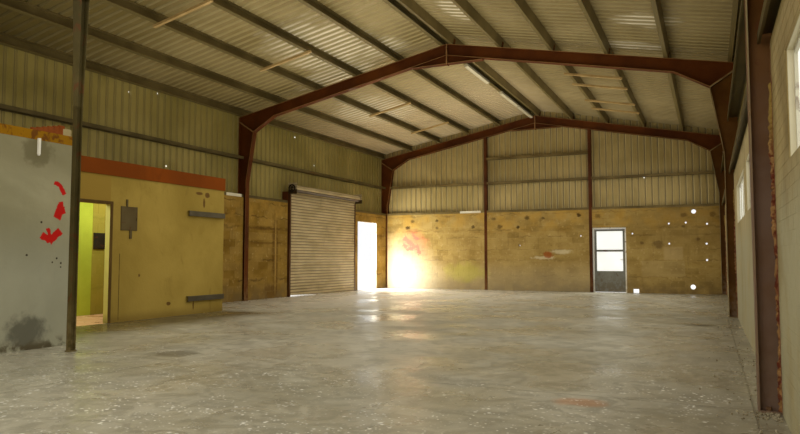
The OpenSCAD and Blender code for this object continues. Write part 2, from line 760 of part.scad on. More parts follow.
// Round hole through a panel of the far gable's blockwork
module gable_hole(panel, share, h, d) translate([along(panel, share), end_y, floor_z + h])
  rotate([90, 0, 0]) cylinder(d = d, h = 3 * gable_wall_t, center = true);

// Wall over each doorway, bearing on the wall beside it
module doorway_heads() color("burlywood") {
  box(-half_span, -left_face, side_door_near, side_door_far, floor_z + side_door_h, block_z);
  box(gable_door_0, gable_door_1, end_y - gable_wall_t, end_y, floor_z + gable_door_h, block_z);
  box(-office_x - office_t, -office_x, office_door_near, office_door_near + office_door_w,
    floor_z + office_door_h, floor_z + office_h - office_roof_t);
  box(-store_x - store_t, -store_x, store_door_near, store_door_near + store_door_w,
    floor_z + office_door_h, floor_z + store_h);
}

// Steel lining of the doorway in the left wall
module side_door_frame() color("gray") {
  top = floor_z + side_door_h;
  box(-half_span, -left_face, side_door_near, side_door_near + lining_t, floor_z, top);
  box(-half_span, -left_face, side_door_far - lining_t, side_door_far, floor_z, top);
  box(-half_span, -left_face, side_door_near, side_door_far, top - lining_t, top);
}

module gable_door_jambs() color("dimgray") {
  top = floor_z + gable_door_h - jamb_w;
  for (x = [gable_door_0, gable_door_1 - jamb_w])
    box(x, x + jamb_w, end_y - jamb_d, end_y, floor_z, top);
}

module gable_door_head() color("dimgray")
  box(gable_door_0, gable_door_1, end_y - jamb_d, end_y, floor_z + gable_door_h - jamb_w,
    floor_z + gable_door_h);

// Fixed lower barrels with their pins, welded to the jamb by a tab
module gable_door_hinges() color("gray") for (z = hinge_z) {
  translate([hinge_x, hinge_y, z]) cylinder(r = hinge_r, h = hinge_l);
  translate([hinge_x, hinge_y, z]) cylinder(r = hinge_pin_r, h = 2 * hinge_l - hinge_pin_short);
  box(hinge_x - jamb_w / 2, hinge_x, end_y, hinge_y, z, z + hinge_l);
}

// Door leaf: two glazed lights over a solid panel, with the upper hinge barrels
module gable_door_leaf() color("slategray") {
  foot = floor_z + leaf_foot;
  in = leaf_out - leaf_t;
  difference() {
    box(leaf_0, leaf_1, in, leaf_out, foot, leaf_top);
    for (l = door_lights) box(leaf_0 + stile_w, leaf_1 - stile_w, in - over, leaf_out + over, l[0], l[1]);
    box(leaf_0 + stile_w, leaf_1 - stile_w, in - over, in + (leaf_t - panel_t) / 2,
      foot + low_rail_h, floor_z + low_panel_h - stile_w);
    box(leaf_0 + stile_w, leaf_1 - stile_w, leaf_out - (leaf_t - panel_t) / 2, leaf_out + over,
      foot + low_rail_h, floor_z + low_panel_h - stile_w);
  }
  for (z = hinge_z) difference() {
    union() {
      translate([hinge_x, hinge_y, z + hinge_l + over]) cylinder(r = hinge_r, h = hinge_l - over);
      box(hinge_x, hinge_x + jamb_w, leaf_out - eps, hinge_y, z + hinge_l + over, z + 2 * hinge_l);
    }
    translate([hinge_x, hinge_y, z]) cylinder(r = hinge_pin_r + hinge_play, h = 3 * hinge_l);
  }
}
door_lights = [[floor_z + low_panel_h, floor_z + mid_rail_h - stile_w / 2],
  [floor_z + mid_rail_h + stile_w / 2, leaf_top - stile_w]];

module gable_door_glass() color("lightblue") for (l = door_lights)
  box(leaf_0 + stile_w, leaf_1 - stile_w, leaf_out - (leaf_t + glass_t) / 2,
    leaf_out - (leaf_t - glass_t) / 2, l[0], l[1]);

// Lever handles with their plates, inside and outside
module gable_door_handle() color("silver") {
  hx = leaf_1 - stile_w / 2;
  for (s = [0, 1]) translate([hx, s == 0 ? leaf_out - leaf_t : leaf_out, floor_z + handle_h])
    mirror([0, 1 - s, 0]) {
      translate([-handle_plate_w / 2, 0, -handle_plate_h / 2])
        cube([handle_plate_w, handle_plate_t, handle_plate_h]);
      rotate([-90, 0, 0]) cylinder(d = spindle_d, h = lever_stand + lever_t);
      translate([spindle_d / 2 - lever_l, lever_stand, -lever_h / 2]) cube([lever_l, lever_t, lever_h]);
    }
}

// One slat's bowed outline, repeated down the opening
function slat_line(side) = [for (i = [0 : slat_n - 1])
  for (a = [0 : 3]) [side + slat_bow * sin(45 * (a + 0.5)),
    floor_z + slat_foot + (i + a / 4 + slat_rise) * slat_h]];
module shutter_curtain() color("tan") difference() {
  curtain_slats();
  translate([-curtain_x, 0, floor_z]) rotate([90, 0, 90])
    linear_extrude(height = 3 * guide_d, center = true)
      polygon([[shutter_near - guide_w, -over], [shutter_near + curtain_lift_l, -over],
        [shutter_near + curtain_lift_l, 0], [shutter_near - guide_w, curtain_lift]]);
}
module curtain_slats() {
  l = shutter_w + 2 * guide_w - 4 * guide_t;
  inner = slat_line(slat_t);
  outer = slat_line(0);
  translate([-curtain_x - slat_bow / 2, (shutter_near + shutter_far) / 2, 0]) along_y(l)
    polygon(concat(outer, reversed(inner)));
  box(-curtain_x - foot_bar_t / 2, -curtain_x + foot_bar_t / 2, shutter_near + guide_t,
    shutter_far - guide_t, floor_z, floor_z + foot_bar_h);
}

// Channel guides on the posts, open towards the curtain
module shutter_guides() color("gray") for (s = [0, 1])
  translate([-left_face, s == 0 ? shutter_near - guide_w : shutter_far + guide_w, floor_z])
    mirror([0, s, 0]) linear_extrude(height = shutter_h)
      polygon([[0, 0], [guide_d, 0], [guide_d, guide_w], [guide_d - guide_t, guide_w],
        [guide_d - guide_t, guide_t], [guide_t, guide_t], [guide_t, guide_w], [0, guide_w]]);

// Roll of slats on its shaft, between two end plates
module shutter_roll() color("tan") {
  l = shutter_w + guide_w;
  mid = (shutter_near + shutter_far) / 2;
  translate([-roll_x, mid, roll_z]) rotate([90, 0, 0]) cylinder(r = roll_r, h = l, center = true);
  translate([-roll_x, mid, roll_z]) rotate([90, 0, 0])
    cylinder(r = shaft_r, h = l + 2 * guide_w, center = true);
  for (s = [0, 1]) translate([-left_face, mid, roll_z - roll_plate / 2]) mirror([0, s, 0])
    translate([0, shutter_w / 2 + guide_w, 0]) cube([roll_plate_d, guide_t, roll_plate]);
}

module window_frames() color("dimgray") {
  x0 = half_span - right_wall_t + window_back;
  pane = (window_w - window_bar) / window_panes;
  z0 = floor_z + sill_h;
  for (y = window_near) difference() {
    box(x0, x0 + window_t, y, y + window_w, z0, z0 + window_h);
    for (i = [0 : window_panes - 1]) box(x0 - over, x0 + window_t + over, y + window_bar + i * pane,
      y + (i + 1) * pane, z0 + window_bar, z0 + window_h - window_bar);
  }
}

module window_glass() color("lightblue") {
  x0 = half_span - right_wall_t + window_back + (window_t - glass_t) / 2;
  pane = (window_w - window_bar) / window_panes;
  z0 = floor_z + sill_h;
  for (y = window_near, i = [0 : window_panes - 1]) box(x0, x0 + glass_t,
    y + window_bar + i * pane, y + (i + 1) * pane, z0 + window_bar, z0 + window_h - window_bar);
}

module office_front_wall() color("goldenrod") {
  top = floor_z + office_h - office_roof_t;
  box(-office_x - office_t, -office_x, store_end, office_door_near, floor_z, top);
  box(-office_x - office_t, -office_x, office_door_near + office_door_w, office_far, floor_z, top);
}

module office_end_wall() color("goldenrod")
  box(-left_face, -office_x - office_t, office_far - office_t, office_far, floor_z,
    floor_z + office_h - office_roof_t);

module office_roof() color("gray") box(-left_face, -office_x, store_end, office_far,
  floor_z + office_h - office_roof_t, floor_z + office_h);

module office_fascia() color("chocolate") {
  fx = -office_x;
  z0 = floor_z + office_h - fascia_h;
  box(fx, fx + fascia_t, store_end, office_far + fascia_t, z0, floor_z + office_h);
  box(-left_face, fx, office_far, office_far + fascia_t, z0, floor_z + office_h);
}

// Channel rails on the office front, open to the wall
module office_rails() color("gray") for (z = [rail_low, rail_high])
  translate([-office_x, office_far - rail_l / 2 - rail_in, floor_z + z]) along_y(rail_l)
    polygon([[0, 0], [rail_d, 0], [rail_d, rail_h], [0, rail_h], [0, rail_h - cold_t],
      [rail_d - cold_t, rail_h - cold_t], [rail_d - cold_t, cold_t], [0, cold_t]]);

module store_front_wall() color("lightgray") {
  top = floor_z + store_h;
  box(-store_x - store_t, -store_x, gable_wall_t - end_y, store_door_near, floor_z, top);
  box(-store_x - store_t, -store_x, store_door_near + store_door_w, store_end - store_t, floor_z, top);
}

module store_end_wall() color("lightgray")
  box(-left_face, -store_x, store_end - store_t, store_end, floor_z, floor_z + store_h);

module store_beam() color("orange") {
  z0 = floor_z + store_h;
  translate([-store_x - store_t, (near_y + flange_w / 2 + store_end) / 2, z0])
    along_y(store_end - near_y - flange_w / 2)
      polygon([[0, 0], [store_t, 0], [store_t, store_beam_h], [0, store_beam_h],
        [0, store_beam_h - flange_t], [store_t - web_t, store_beam_h - flange_t],
        [store_t - web_t, flange_t], [0, flange_t]]);
}

// Bars hung under the third and fourth purlins, lamps under the ridge purlin
// Side of the ridge and distance along the hall of each bar, distance of each lamp
batten_y = [[-1, -1100], [-1, 2000], [-1, 7200], [-1, 10200], [1, 6050], [1, 7100], [1, 8970], [1, 10100]];
lamp_y = [6650, 9700, 11600];
module light_fittings() color("ivory") {
  for (b = batten_y) mirror([b[0] < 0 ? 1 : 0, 0, 0]) on_slope()
    translate([purlin_u[2] - batten_over, b[1] - batten_w / 2, seat_gap - batten_h])
      cube([purlin_u[3] - purlin_u[2] + purlin_b + 2 * batten_over, batten_w, batten_h]);
  mirror([1, 0, 0]) on_slope() for (y = lamp_y)
    translate([purlin_u[purlin_n - 1], y - lamp_l / 2, seat_gap - lamp_h])
      cube([lamp_w, lamp_l, lamp_h]);
}

floor_slab();
left_columns();
right_columns();
left_rafters();
right_rafters();
wall_posts();
rafter_prop();
left_purlins();
right_purlins();
left_girts();
right_girts();
gable_girts();
left_roof_sheet();
right_roof_sheet();
ridge_cap();
flashings();
gutters();
left_wall_sheet();
right_wall_sheet();
gable_sheets();
left_block_wall();
right_block_wall();
gable_block_walls();
doorway_heads();
side_door_frame();
gable_door_jambs();
gable_door_head();
gable_door_hinges();
gable_door_leaf();
gable_door_glass();
gable_door_handle();
shutter_curtain();
shutter_guides();
shutter_roll();
window_frames();
window_glass();
office_front_wall();
office_end_wall();
office_roof();
office_fascia();
office_rails();
store_front_wall();
store_end_wall();
store_beam();
light_fittings();
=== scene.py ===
import math
import random
import bmesh
import bpy
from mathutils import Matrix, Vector


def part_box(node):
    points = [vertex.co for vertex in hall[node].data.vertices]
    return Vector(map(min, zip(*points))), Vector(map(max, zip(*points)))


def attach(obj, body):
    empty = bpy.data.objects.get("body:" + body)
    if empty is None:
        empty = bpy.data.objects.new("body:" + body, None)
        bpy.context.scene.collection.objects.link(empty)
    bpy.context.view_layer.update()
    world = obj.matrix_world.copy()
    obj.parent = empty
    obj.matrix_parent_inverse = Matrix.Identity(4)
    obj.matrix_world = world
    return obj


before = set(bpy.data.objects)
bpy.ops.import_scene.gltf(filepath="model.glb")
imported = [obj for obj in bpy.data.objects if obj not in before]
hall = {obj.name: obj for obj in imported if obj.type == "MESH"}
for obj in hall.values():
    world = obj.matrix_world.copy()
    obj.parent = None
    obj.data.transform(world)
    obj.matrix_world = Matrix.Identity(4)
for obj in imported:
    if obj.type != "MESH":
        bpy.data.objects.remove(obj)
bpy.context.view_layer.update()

scene = bpy.context.scene
scene.view_settings.view_transform = "Standard"

# Viewpoint: a wide lens held at chest height, close to the window wall in the
# near bay, turned towards the roller shutter and tilted up a little.
eye = (5.333, -9.780, 1.216)
tilt_up, turned_left = 3.529, 25.062
lens = bpy.data.cameras.new("hall_view")
lens.sensor_fit = "HORIZONTAL"
lens.sensor_width = 36.0
lens.lens = 29.814
lens.clip_start = 0.05
lens.clip_end = 600.0
view = bpy.data.objects.new("hall_view", lens)
view.location = eye
view.rotation_euler = (math.radians(90 + tilt_up), 0.0, math.radians(turned_left))
scene.collection.objects.link(view)
scene.camera = view

# Daylight: a white sky that shows plain white through every opening, one soft sun
# for the outside, and wide soft lamps under the roof in place of bounced light.
sky_fill, sky_seen = 0.62, 1.0
sky = bpy.data.worlds.new("pale_sky")
scene.world = sky
sky.use_nodes = True
sky_nodes, sky_links = sky.node_tree.nodes, sky.node_tree.links
path = sky_nodes.new("ShaderNodeLightPath")
seen = path.outputs["Is Camera Ray"]
for ray in ("Is Transmission Ray", "Is Glossy Ray"):
    either = sky_nodes.new("ShaderNodeMath")
    either.operation = "MAXIMUM"
    sky_links.new(seen, either.inputs[0])
    sky_links.new(path.outputs[ray], either.inputs[1])
    seen = either.outputs[0]
sky_level = sky_nodes.new("ShaderNodeMapRange")
sky_links.new(seen, sky_level.inputs["Value"])
sky_level.inputs["To Min"].default_value = sky_fill
sky_level.inputs["To Max"].default_value = sky_seen
sky_links.new(sky_level.outputs[0], sky_nodes["Background"].inputs["Strength"])
sky_nodes["Background"].inputs["Color"].default_value = (1.0, 1.0, 1.0, 1.0)


def soft_lamp(name, place, size, watts, turn=(0.0, 0.0, 0.0), tint=(1.0, 1.0, 1.0)):
    """An area lamp that the camera doesn't see; unturned it shines down."""
    lamp = bpy.data.lights.new(name, "AREA")
    lamp.shape = "RECTANGLE"
    lamp.size, lamp.size_y = size
    lamp.energy = watts
    lamp.color = tint
    piece = bpy.data.objects.new(name, lamp)
    piece.location = place
    piece.rotation_euler = [math.radians(a) for a in turn]
    piece.visible_camera = False
    piece.visible_glossy = False
    scene.collection.objects.link(piece)


sun = bpy.data.lights.new("soft_sun", "SUN")
sun.energy = 1.6
sun.angle = math.radians(10)
sun_way = Vector((0.62, 0.22, -0.75))
sun_piece = bpy.data.objects.new("soft_sun", sun)
sun_piece.rotation_euler = sun_way.to_track_quat("-Z", "Y").to_euler()
scene.collection.objects.link(sun_piece)
soft_lamp("roof_glow_down", (0.5, 0.0, 4.38), (8.6, 23.0), 600, tint=(1.0, 0.98, 0.92))
soft_lamp("roof_glow_up", (0.0, 0.0, 3.05), (7.4, 21.0), 430, (180, 0, 0), (1.0, 0.96, 0.86))
soft_lamp("near_fill", (1.7, -11.4, 2.3), (6.8, 3.4), 150, (90, 0, 0), (1.0, 0.96, 0.88))
soft_lamp("side_doorway_light", (-5.6, 11.05, 1.35), (2.2, 1.3), 110, (0, -90, 0), (1.0, 0.98, 0.94))
soft_lamp("side_doorway_beam", (-5.60, 10.95, 1.35), (0.9, 1.7), 62, (76, 0, -20), (1.0, 0.97, 0.90))
soft_lamp("gable_door_light", (2.38, 12.40, 1.4), (0.9, 1.4), 40, (-90, 0, 0))
soft_lamp("office_light", (-4.9, -1.4, 2.6), (1.0, 3.6), 60, tint=(1.0, 1.0, 0.86))
window_middles = (-10.1, -6.7, -1.7, 1.7, 6.7, 10.1)
for middle in window_middles:
    soft_lamp("window_light", (5.72, middle, 2.12), (0.6, 2.7), 16, (0, 90, 0))

# Floor slab: one level pour of concrete, worn smooth by traffic, with saw-cut
# joints, old oil marks, drips of white paint and patches polished by use.


def shade(red, green, blue):
    """A colour as it looks on screen, 0 to 255, made ready for a shader."""
    parts = [c / 255 for c in (red, green, blue)]
    return tuple(c / 12.92 if c <= 0.04045 else ((c + 0.055) / 1.055) ** 2.4 for c in parts) + (1.0,)


class Finish:
    """A material mixed from patterns that read the hall's own metres.

    Colours are given as they look on screen. The tone is what has been mixed so far.
    """

    def __init__(self, name, rough, metal=0.0, gloss=0.5):
        self.material = bpy.data.materials.new(name)
        self.material.use_nodes = True
        self.sockets = self.material.node_tree.nodes["Principled BSDF"].inputs
        self.sockets["Roughness"].default_value = rough
        self.sockets["Metallic"].default_value = metal
        self.sockets["Specular IOR Level"].default_value = gloss
        self.tone = None

    def node(self, kind, **ways):
        made = self.material.node_tree.nodes.new("ShaderNode" + kind)
        for key, value in ways.items():
            setattr(made, key, value)
        return made

    def join(self, value, target):
        """Sets a socket to a number or a colour, or joins another node's output to it."""
        if isinstance(value, bpy.types.NodeSocket):
            self.material.node_tree.links.new(value, target)
        elif isinstance(value, tuple):
            target.default_value = shade(*value)
        else:
            target.default_value = value

    def lie(self, stretch=(1, 1, 1), shift=(0, 0, 0)):
        """The hall's own metres, stretched or moved for a pattern."""
        fit = self.node("Mapping")
        self.join(self.node("TexCoord").outputs["Object"], fit.inputs["Vector"])
        fit.inputs["Scale"].default_value = stretch
        fit.inputs["Location"].default_value = shift
        return fit.outputs["Vector"]

    def cloud(self, size, detail, warp=0.0, **laid):
        """Soft uneven patches about as large as size, in metres."""
        made = self.node("TexNoise")
        self.join(self.lie(**laid), made.inputs["Vector"])
        made.inputs["Scale"].default_value = 1.0 / size
        made.inputs["Detail"].default_value = detail
        made.inputs["Roughness"].default_value = 0.55
        made.inputs["Distortion"].default_value = warp
        return made.outputs["Fac"]

    def fade(self, value, start, end, low=0.0, high=1.0):
        """Runs smoothly from low to high as value goes from start to end."""
        made = self.node("MapRange", interpolation_type="SMOOTHSTEP")
        self.join(value, made.inputs["Value"])
        for key, limit in (("From Min", start), ("From Max", end), ("To Min", low), ("To Max", high)):
            made.inputs[key].default_value = limit
        return made.outputs["Result"]

    def patches(self, size, detail, start, end, low=0.0, high=1.0, **laid):
        """A cloud cut down to its patches, between start and end of its own height."""
        return self.fade(self.cloud(size, detail, **laid), start, end, low, high)

    def specks(self, size, low, high, **laid):
        """Round marks, 1 at their middle, about one to each square of that size."""
        made = self.node("TexVoronoi")
        self.join(self.lie(**laid), made.inputs["Vector"])
        made.inputs["Scale"].default_value = 1.0 / size
        return self.fade(made.outputs["Distance"], high, low)

    def sums(self, way, first, second=0.0):
        made = self.node("Math", operation=way)
        self.join(first, made.inputs[0])
        self.join(second, made.inputs[1])
        return made.outputs[0]

    def plus(self, first, second):
        return self.sums("ADD", first, second)

    def minus(self, first, second):
        return self.sums("SUBTRACT", first, second)

    def size_of(self, value):
        return self.sums("ABSOLUTE", value)

    def times(self, share, *others):
        for other in others:
            share = self.sums("MULTIPLY", share, other)
        return share

    def most(self, share, *others):
        for other in others:
            share = self.sums("MAXIMUM", share, other)
        return share

    def along(self, axis):
        """The place along X, Y or Z, in metres."""
        split = self.node("SeparateXYZ")
        self.join(self.node("TexCoord").outputs["Object"], split.inputs[0])
        return split.outputs[axis]

    def slide(self, axis, start, end, low=0.0, high=1.0):
        return self.fade(self.along(axis), start, end, low, high)

    def beside(self, axis, step, start=0.0):
        """How far a place lies from the nearest of evenly spaced lines, one of them at start."""
        return self.sums("PINGPONG", self.minus(self.along(axis), start), step / 2)

    def blot(self, axes, middle, half, ragged=0.35, soft=0.4, grain=0.25):
        """A round mark with a ragged edge: 1 inside, 0 outside; places in metres."""
        across, up = [self.sums("DIVIDE", self.minus(self.along(axis), at), size)
                      for axis, at, size in zip(axes, middle, half)]
        far = self.sums("SQRT", self.plus(self.times(across, across), self.times(up, up)))
        rough = self.minus(self.cloud(grain, 5, shift=(middle[0], 1, middle[1])), 0.5)
        return self.fade(self.plus(far, self.times(rough, ragged * 2)), 1.0 + soft / 2, 1.0 - soft / 2)

    def blots(self, axes, places, *edges):
        """Several round marks as one; each place is (middle, half)."""
        return self.most(*[self.blot(axes, middle, half, *edges) for middle, half in places])

    def panel(self, axes, low, high, edge=0.02):
        """A straight-edged area, 1 inside and 0 outside, between two corners in metres."""
        return self.times(*[self.times(self.slide(axis, start - edge, start + edge),
                                       self.slide(axis, end + edge, end - edge))
                            for axis, start, end in zip(axes, low, high)])

    def mix(self, share, under, over):
        """One colour over another, as far as share covers it."""
        made = self.node("Mix", data_type="RGBA", blend_type="MIX")
        self.join(share, made.inputs[0])
        self.join(under, made.inputs[6])
        self.join(over, made.inputs[7])
        return made.outputs[2]

    def paint(self, share, under, over):
        """Mixes the tone afresh and lets it show."""
        self.tone = self.mix(share, under, over)
        self.join(self.tone, self.sockets["Base Color"])

    def stain(self, share, colour, strength=None):
        """Lays a colour over the tone as far as share covers it, as strongly as asked."""
        self.paint(share if strength is None else self.times(share, strength), self.tone, colour)

    def polish(self, value):
        self.join(value, self.sockets["Roughness"])

    def relief(self, height, depth):
        """Small hollows and humps, depth in metres."""
        made = self.node("Bump")
        made.inputs["Distance"].default_value = depth
        self.join(height, made.inputs["Height"])
        self.join(made.outputs["Normal"], self.sockets["Normal"])


def dress(finish, *names):
    """Gives CAD nodes their finish."""
    for name in names:
        for place in hall[name].material_slots:
            place.material = finish.material


left_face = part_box("left_block_wall")[1][0]
store_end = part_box("store_end_wall")[1][1]
office_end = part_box("office_end_wall")[1][1]
cut_along, cut_across = 5.6, 4.2
concrete = Finish("worn_concrete", 0.5)
concrete.paint(concrete.patches(3.2, 6, 0.3, 0.7, warp=0.6), (156, 151, 129), (180, 174, 153))
concrete.stain(concrete.patches(0.55, 7, 0.42, 0.75, 0.0, 0.5, shift=(3, 1, 0)), (198, 193, 172))
concrete.stain(concrete.patches(1.5, 5, 0.60, 0.78, 0.0, 0.5, shift=(9, 4, 0), warp=1.2), (116, 111, 92))
concrete.stain(concrete.patches(0.28, 7, 0.44, 0.60, 0.0, 0.42, shift=(6, 2, 0), warp=1.5), (122, 118, 100))
rust_ring = concrete.blot("XY", (4.39, -4.46), (0.17, 0.15), 0.7, 0.9, 0.2)
concrete.stain(rust_ring, (190, 120, 60), 0.45)
side_grime = concrete.slide("X", 4.2, 5.6)
concrete.stain(side_grime, (112, 100, 74), 0.45)
oil = concrete.blot("XY", (-0.36, -3.83), (0.30, 0.22), 0.6, 0.7)
concrete.stain(oil, (88, 80, 58), 0.6)
concrete.stain(concrete.specks(2.9, 0.04, 0.12, shift=(0.4, 0.9, 0)), (82, 76, 60))
dripped = concrete.most(concrete.blot("XY", (-1.3, -3.8), (1.5, 0.9), 0.5, 0.8),
                        concrete.blot("XY", (1.6, -5.4), (3.4, 1.7), 0.6, 0.9),
                        concrete.blot("XY", (5.0, -3.2), (0.8, 2.2), 0.5, 0.8))
dripped = concrete.times(dripped, concrete.patches(0.5, 6, 0.42, 0.58, 0.15, 1.0, shift=(4, 4, 0), warp=1.0))
drops = concrete.most(concrete.specks(0.10, 0.08, 0.20, shift=(0.1, 0.3, 0)),
                      concrete.specks(0.045, 0.10, 0.24),
                      concrete.patches(0.10, 5, 0.68, 0.71, stretch=(1, 3, 1), shift=(3, 3, 0), warp=1.0))
concrete.stain(drops, (246, 244, 232), concrete.most(dripped, 0.10))
# Painted shadow: the floor in front of the store and office walls is darkened, most towards the walls.
shadow_before_rooms = concrete.panel("XY", (-5, -4.0), (-2.0, 1.45), 0.25)
concrete.stain(concrete.times(concrete.slide("X", -2.2, -3.4), shadow_before_rooms), (76, 62, 22), 0.85)
doorstep = concrete.panel("XY", (1.9, 12.36), (2.88, 12.7), 0.03)
concrete.stain(doorstep, (240, 236, 222))
cut = concrete.most(concrete.fade(concrete.beside("Y", cut_across), 0.012, 0.004),
                    concrete.fade(concrete.beside("X", cut_along), 0.012, 0.004))
concrete.stain(cut, (88, 80, 62), 0.45)
office_floor = concrete.panel("XY", (left_face - 0.05, store_end), (-4.06, office_end))
concrete.stain(office_floor, (206, 160, 118))
lit_floor = concrete.blot("XY", (-3.4, 8.4), (3.2, 4.0), 0.3, 1.7, 0.4)
concrete.stain(lit_floor, (250, 243, 226), 0.7)
doorway_glare = concrete.blot("XY", (-4.9, 11.2), (1.5, 1.1), 0.2, 1.2, 0.2)
concrete.stain(doorway_glare, (250, 246, 236))
concrete.polish(concrete.patches(1.1, 5, 0.35, 0.7, 0.22, 0.55, shift=(2, 7, 0)))
concrete.relief(concrete.minus(concrete.cloud(0.04, 6), cut), 0.003)
dress(concrete, "floor_slab")

# Ground: a wide pale plain for the hall to stand on, just under the slab, which
# isn't part of the object.
wide, below = 150, -0.002
ground = bpy.data.meshes.new("pale_floor")
ground.from_pydata([(-wide, -wide, below), (wide, -wide, below), (wide, wide, below), (-wide, wide, below)],
                   [], [(0, 1, 2, 3)])
pale_floor = bpy.data.objects.new("pale_floor", ground)
scene.collection.objects.link(pale_floor)
pale = Finish("pale_ground", 0.9)
pale.sockets["Base Color"].default_value = (0.90, 0.90, 0.89, 1.0)
pale.sockets["Emission Color"].default_value = (1.0, 1.0, 1.0, 1.0)
pale.sockets["Emission Strength"].default_value = 0.22
ground.materials.append(pale.material)

# Crumbs: bits of mortar and chips of paint that have fallen off the walls and lie
# swept against them, thickest round the foot of the near column.


def repeater(form):
    """A node group that sets one form on every point, sized and turned by the point."""
    group = bpy.data.node_groups.new("repeat_" + form, "GeometryNodeTree")
    group.is_modifier = True
    for name, kind in (("Places", "Geometry"), ("Finish", "Material"), ("Seed", "Int")):
        group.interface.new_socket(name, in_out="INPUT", socket_type="NodeSocket" + kind)
    group.interface.new_socket("Pieces", in_out="OUTPUT", socket_type="NodeSocketGeometry")

    def add(kind):
        return group.nodes.new(kind)

    start, end = add("NodeGroupInput"), add("NodeGroupOutput")
    shape = add({"block": "GeometryNodeMeshCube", "bolt": "GeometryNodeMeshCylinder",
                 "crumb": "GeometryNodeMeshIcoSphere"}[form])
    if form == "bolt":
        shape.inputs["Vertices"].default_value = 6
        shape.inputs["Depth"].default_value = 1.0
    if form == "crumb":
        shape.inputs["Subdivisions"].default_value = 1
    spread, real = add("GeometryNodeInstanceOnPoints"), add("GeometryNodeRealizeInstances")
    chance, coated = add("FunctionNodeRandomValue"), add("GeometryNodeSetMaterial")
    store = add("GeometryNodeStoreNamedAttribute")
    store.domain = "INSTANCE"
    store.inputs["Name"].default_value = "tone"
    for key, socket in (("size", "Scale"), ("turn", "Rotation")):
        named = add("GeometryNodeInputNamedAttribute")
        named.data_type = "FLOAT_VECTOR"
        named.inputs["Name"].default_value = key
        group.links.new(named.outputs["Attribute"], spread.inputs[socket])
    for source, target in ((start.outputs["Places"], spread.inputs["Points"]),
                           (shape.outputs["Mesh"], spread.inputs["Instance"]),
                           (start.outputs["Seed"], chance.inputs["Seed"]),
                           (spread.outputs["Instances"], store.inputs["Geometry"]),
                           (chance.outputs[1], store.inputs["Value"]),
                           (store.outputs["Geometry"], real.inputs["Geometry"]),
                           (real.outputs["Geometry"], coated.inputs["Geometry"]),
                           (start.outputs["Finish"], coated.inputs["Material"]),
                           (coated.outputs["Geometry"], end.inputs["Pieces"])):
        group.links.new(source, target)
    return group


repeaters = {form: repeater(form) for form in ("block", "bolt", "crumb")}


def repeat(name, form, places, finish, seed=3, body="building"):
    """One joined mesh of a form at many places, each place being (middle, size, turn)."""
    points = bpy.data.meshes.new(name)
    points.from_pydata([tuple(p[0]) for p in places], [], [])
    for key, which in (("size", 1), ("turn", 2)):
        kept = points.attributes.new(key, "FLOAT_VECTOR", "POINT")
        kept.data.foreach_set("vector", [value for p in places for value in p[which]])
    piece = bpy.data.objects.new(name, points)
    scene.collection.objects.link(piece)
    laid = piece.modifiers.new("laid", "NODES")
    laid.node_group = repeaters[form]
    for item in laid.node_group.interface.items_tree:
        if item.name == "Finish":
            laid[item.identifier] = finish.material
        if item.name == "Seed":
            laid[item.identifier] = seed
    piece.update_tag()
    made = bpy.data.meshes.new_from_object(piece.evaluated_get(bpy.context.evaluated_depsgraph_get()))
    piece.modifiers.remove(laid)
    piece.data = made
    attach(piece, body)


def tone_of(made):
    """The chance value, 0 to 1, that each repeated piece carries on its mesh."""
    return made.node("Attribute", attribute_name="tone").outputs["Fac"]


floor_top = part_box("floor_slab")[1][2]
right_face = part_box("right_block_wall")[0][0]
end_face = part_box("gable_block_walls")[1][1]
gable_thick = 0.14
gable_face = end_face - gable_thick
crumb_paint = Finish("mortar_crumb", 0.9)
crumb_paint.paint(tone_of(crumb_paint), (112, 98, 70), (186, 176, 148))
crumb_paint.relief(crumb_paint.cloud(0.01, 3), 0.002)
dice = random.Random(11)
crumbs = []
off_wall, past_office = 0.02, 1.6
for _ in range(900):
    foot = dice.choice((right_face - off_wall, right_face - off_wall, left_face + off_wall, None))
    reach = abs(dice.gauss(0.0, 0.22)) + off_wall
    if foot is None:
        x, y = dice.uniform(-5.4, 5.4), gable_face - reach
    else:
        x, y = foot - math.copysign(reach, foot), dice.uniform(-12.3, 12.3)
    if foot is not None and foot < 0 and y < past_office:
        continue
    size = dice.uniform(0.003, 0.014)
    crumbs.append(((x, y, floor_top + size * 0.4), (size, size * dice.uniform(0.6, 1.2), size * 0.7),
                   (dice.uniform(0, 3), dice.uniform(0, 3), dice.uniform(0, 3))))
column_foot = -4.275
for _ in range(120):
    x, y = right_face - abs(dice.gauss(0.0, 0.10)) - off_wall, column_foot - abs(dice.gauss(0.0, 0.14))
    size = dice.uniform(0.003, 0.011)
    crumbs.append(((x, y, floor_top + size * 0.4), (size, size, size * 0.7),
                   (dice.uniform(0, 3), dice.uniform(0, 3), 0)))
repeat("floor_crumbs", "crumb", crumbs, crumb_paint)

# Portal frames: welded I-sections cut from plate, shop-painted with red oxide that
# has dulled to brown, worn pale along the flange edges, which also carry a painted
# highlight, and rusting at the feet.
bay = 8.4
half_flange = 0.075


def oxide(name, dark, light, scuff, edge=None):
    """Old paint on steel: cloudy, rust in patches, scuffed near the floor, flange edges worn pale and painted
    lighter as a highlight.
    """
    made = Finish(name, 0.6, gloss=0.22)
    made.paint(made.patches(0.9, 5, 0.3, 0.7, shift=(1, 2, 3)), dark, light)
    made.stain(made.patches(0.14, 6, 0.56, 0.70, 0.0, 0.6, shift=(5, 0, 2), warp=0.8), (92, 46, 18))
    made.stain(made.slide("Z", 0.9, 0.1), scuff, made.patches(0.10, 5, 0.35, 0.6))
    if edge:
        # Flange edges: paint worn pale, plus a painted highlight where the edges catch the light.
        rim = made.fade(made.beside("Y", bay, 1.5 * bay), half_flange - 0.0008, half_flange - 0.0002)
        made.stain(rim, edge, made.patches(0.3, 4, 0.3, 0.6, 0.35, 0.95))
    made.polish(made.patches(0.3, 4, 0.3, 0.7, 0.5, 0.8))
    made.relief(made.cloud(0.012, 4), 0.0008)
    return made


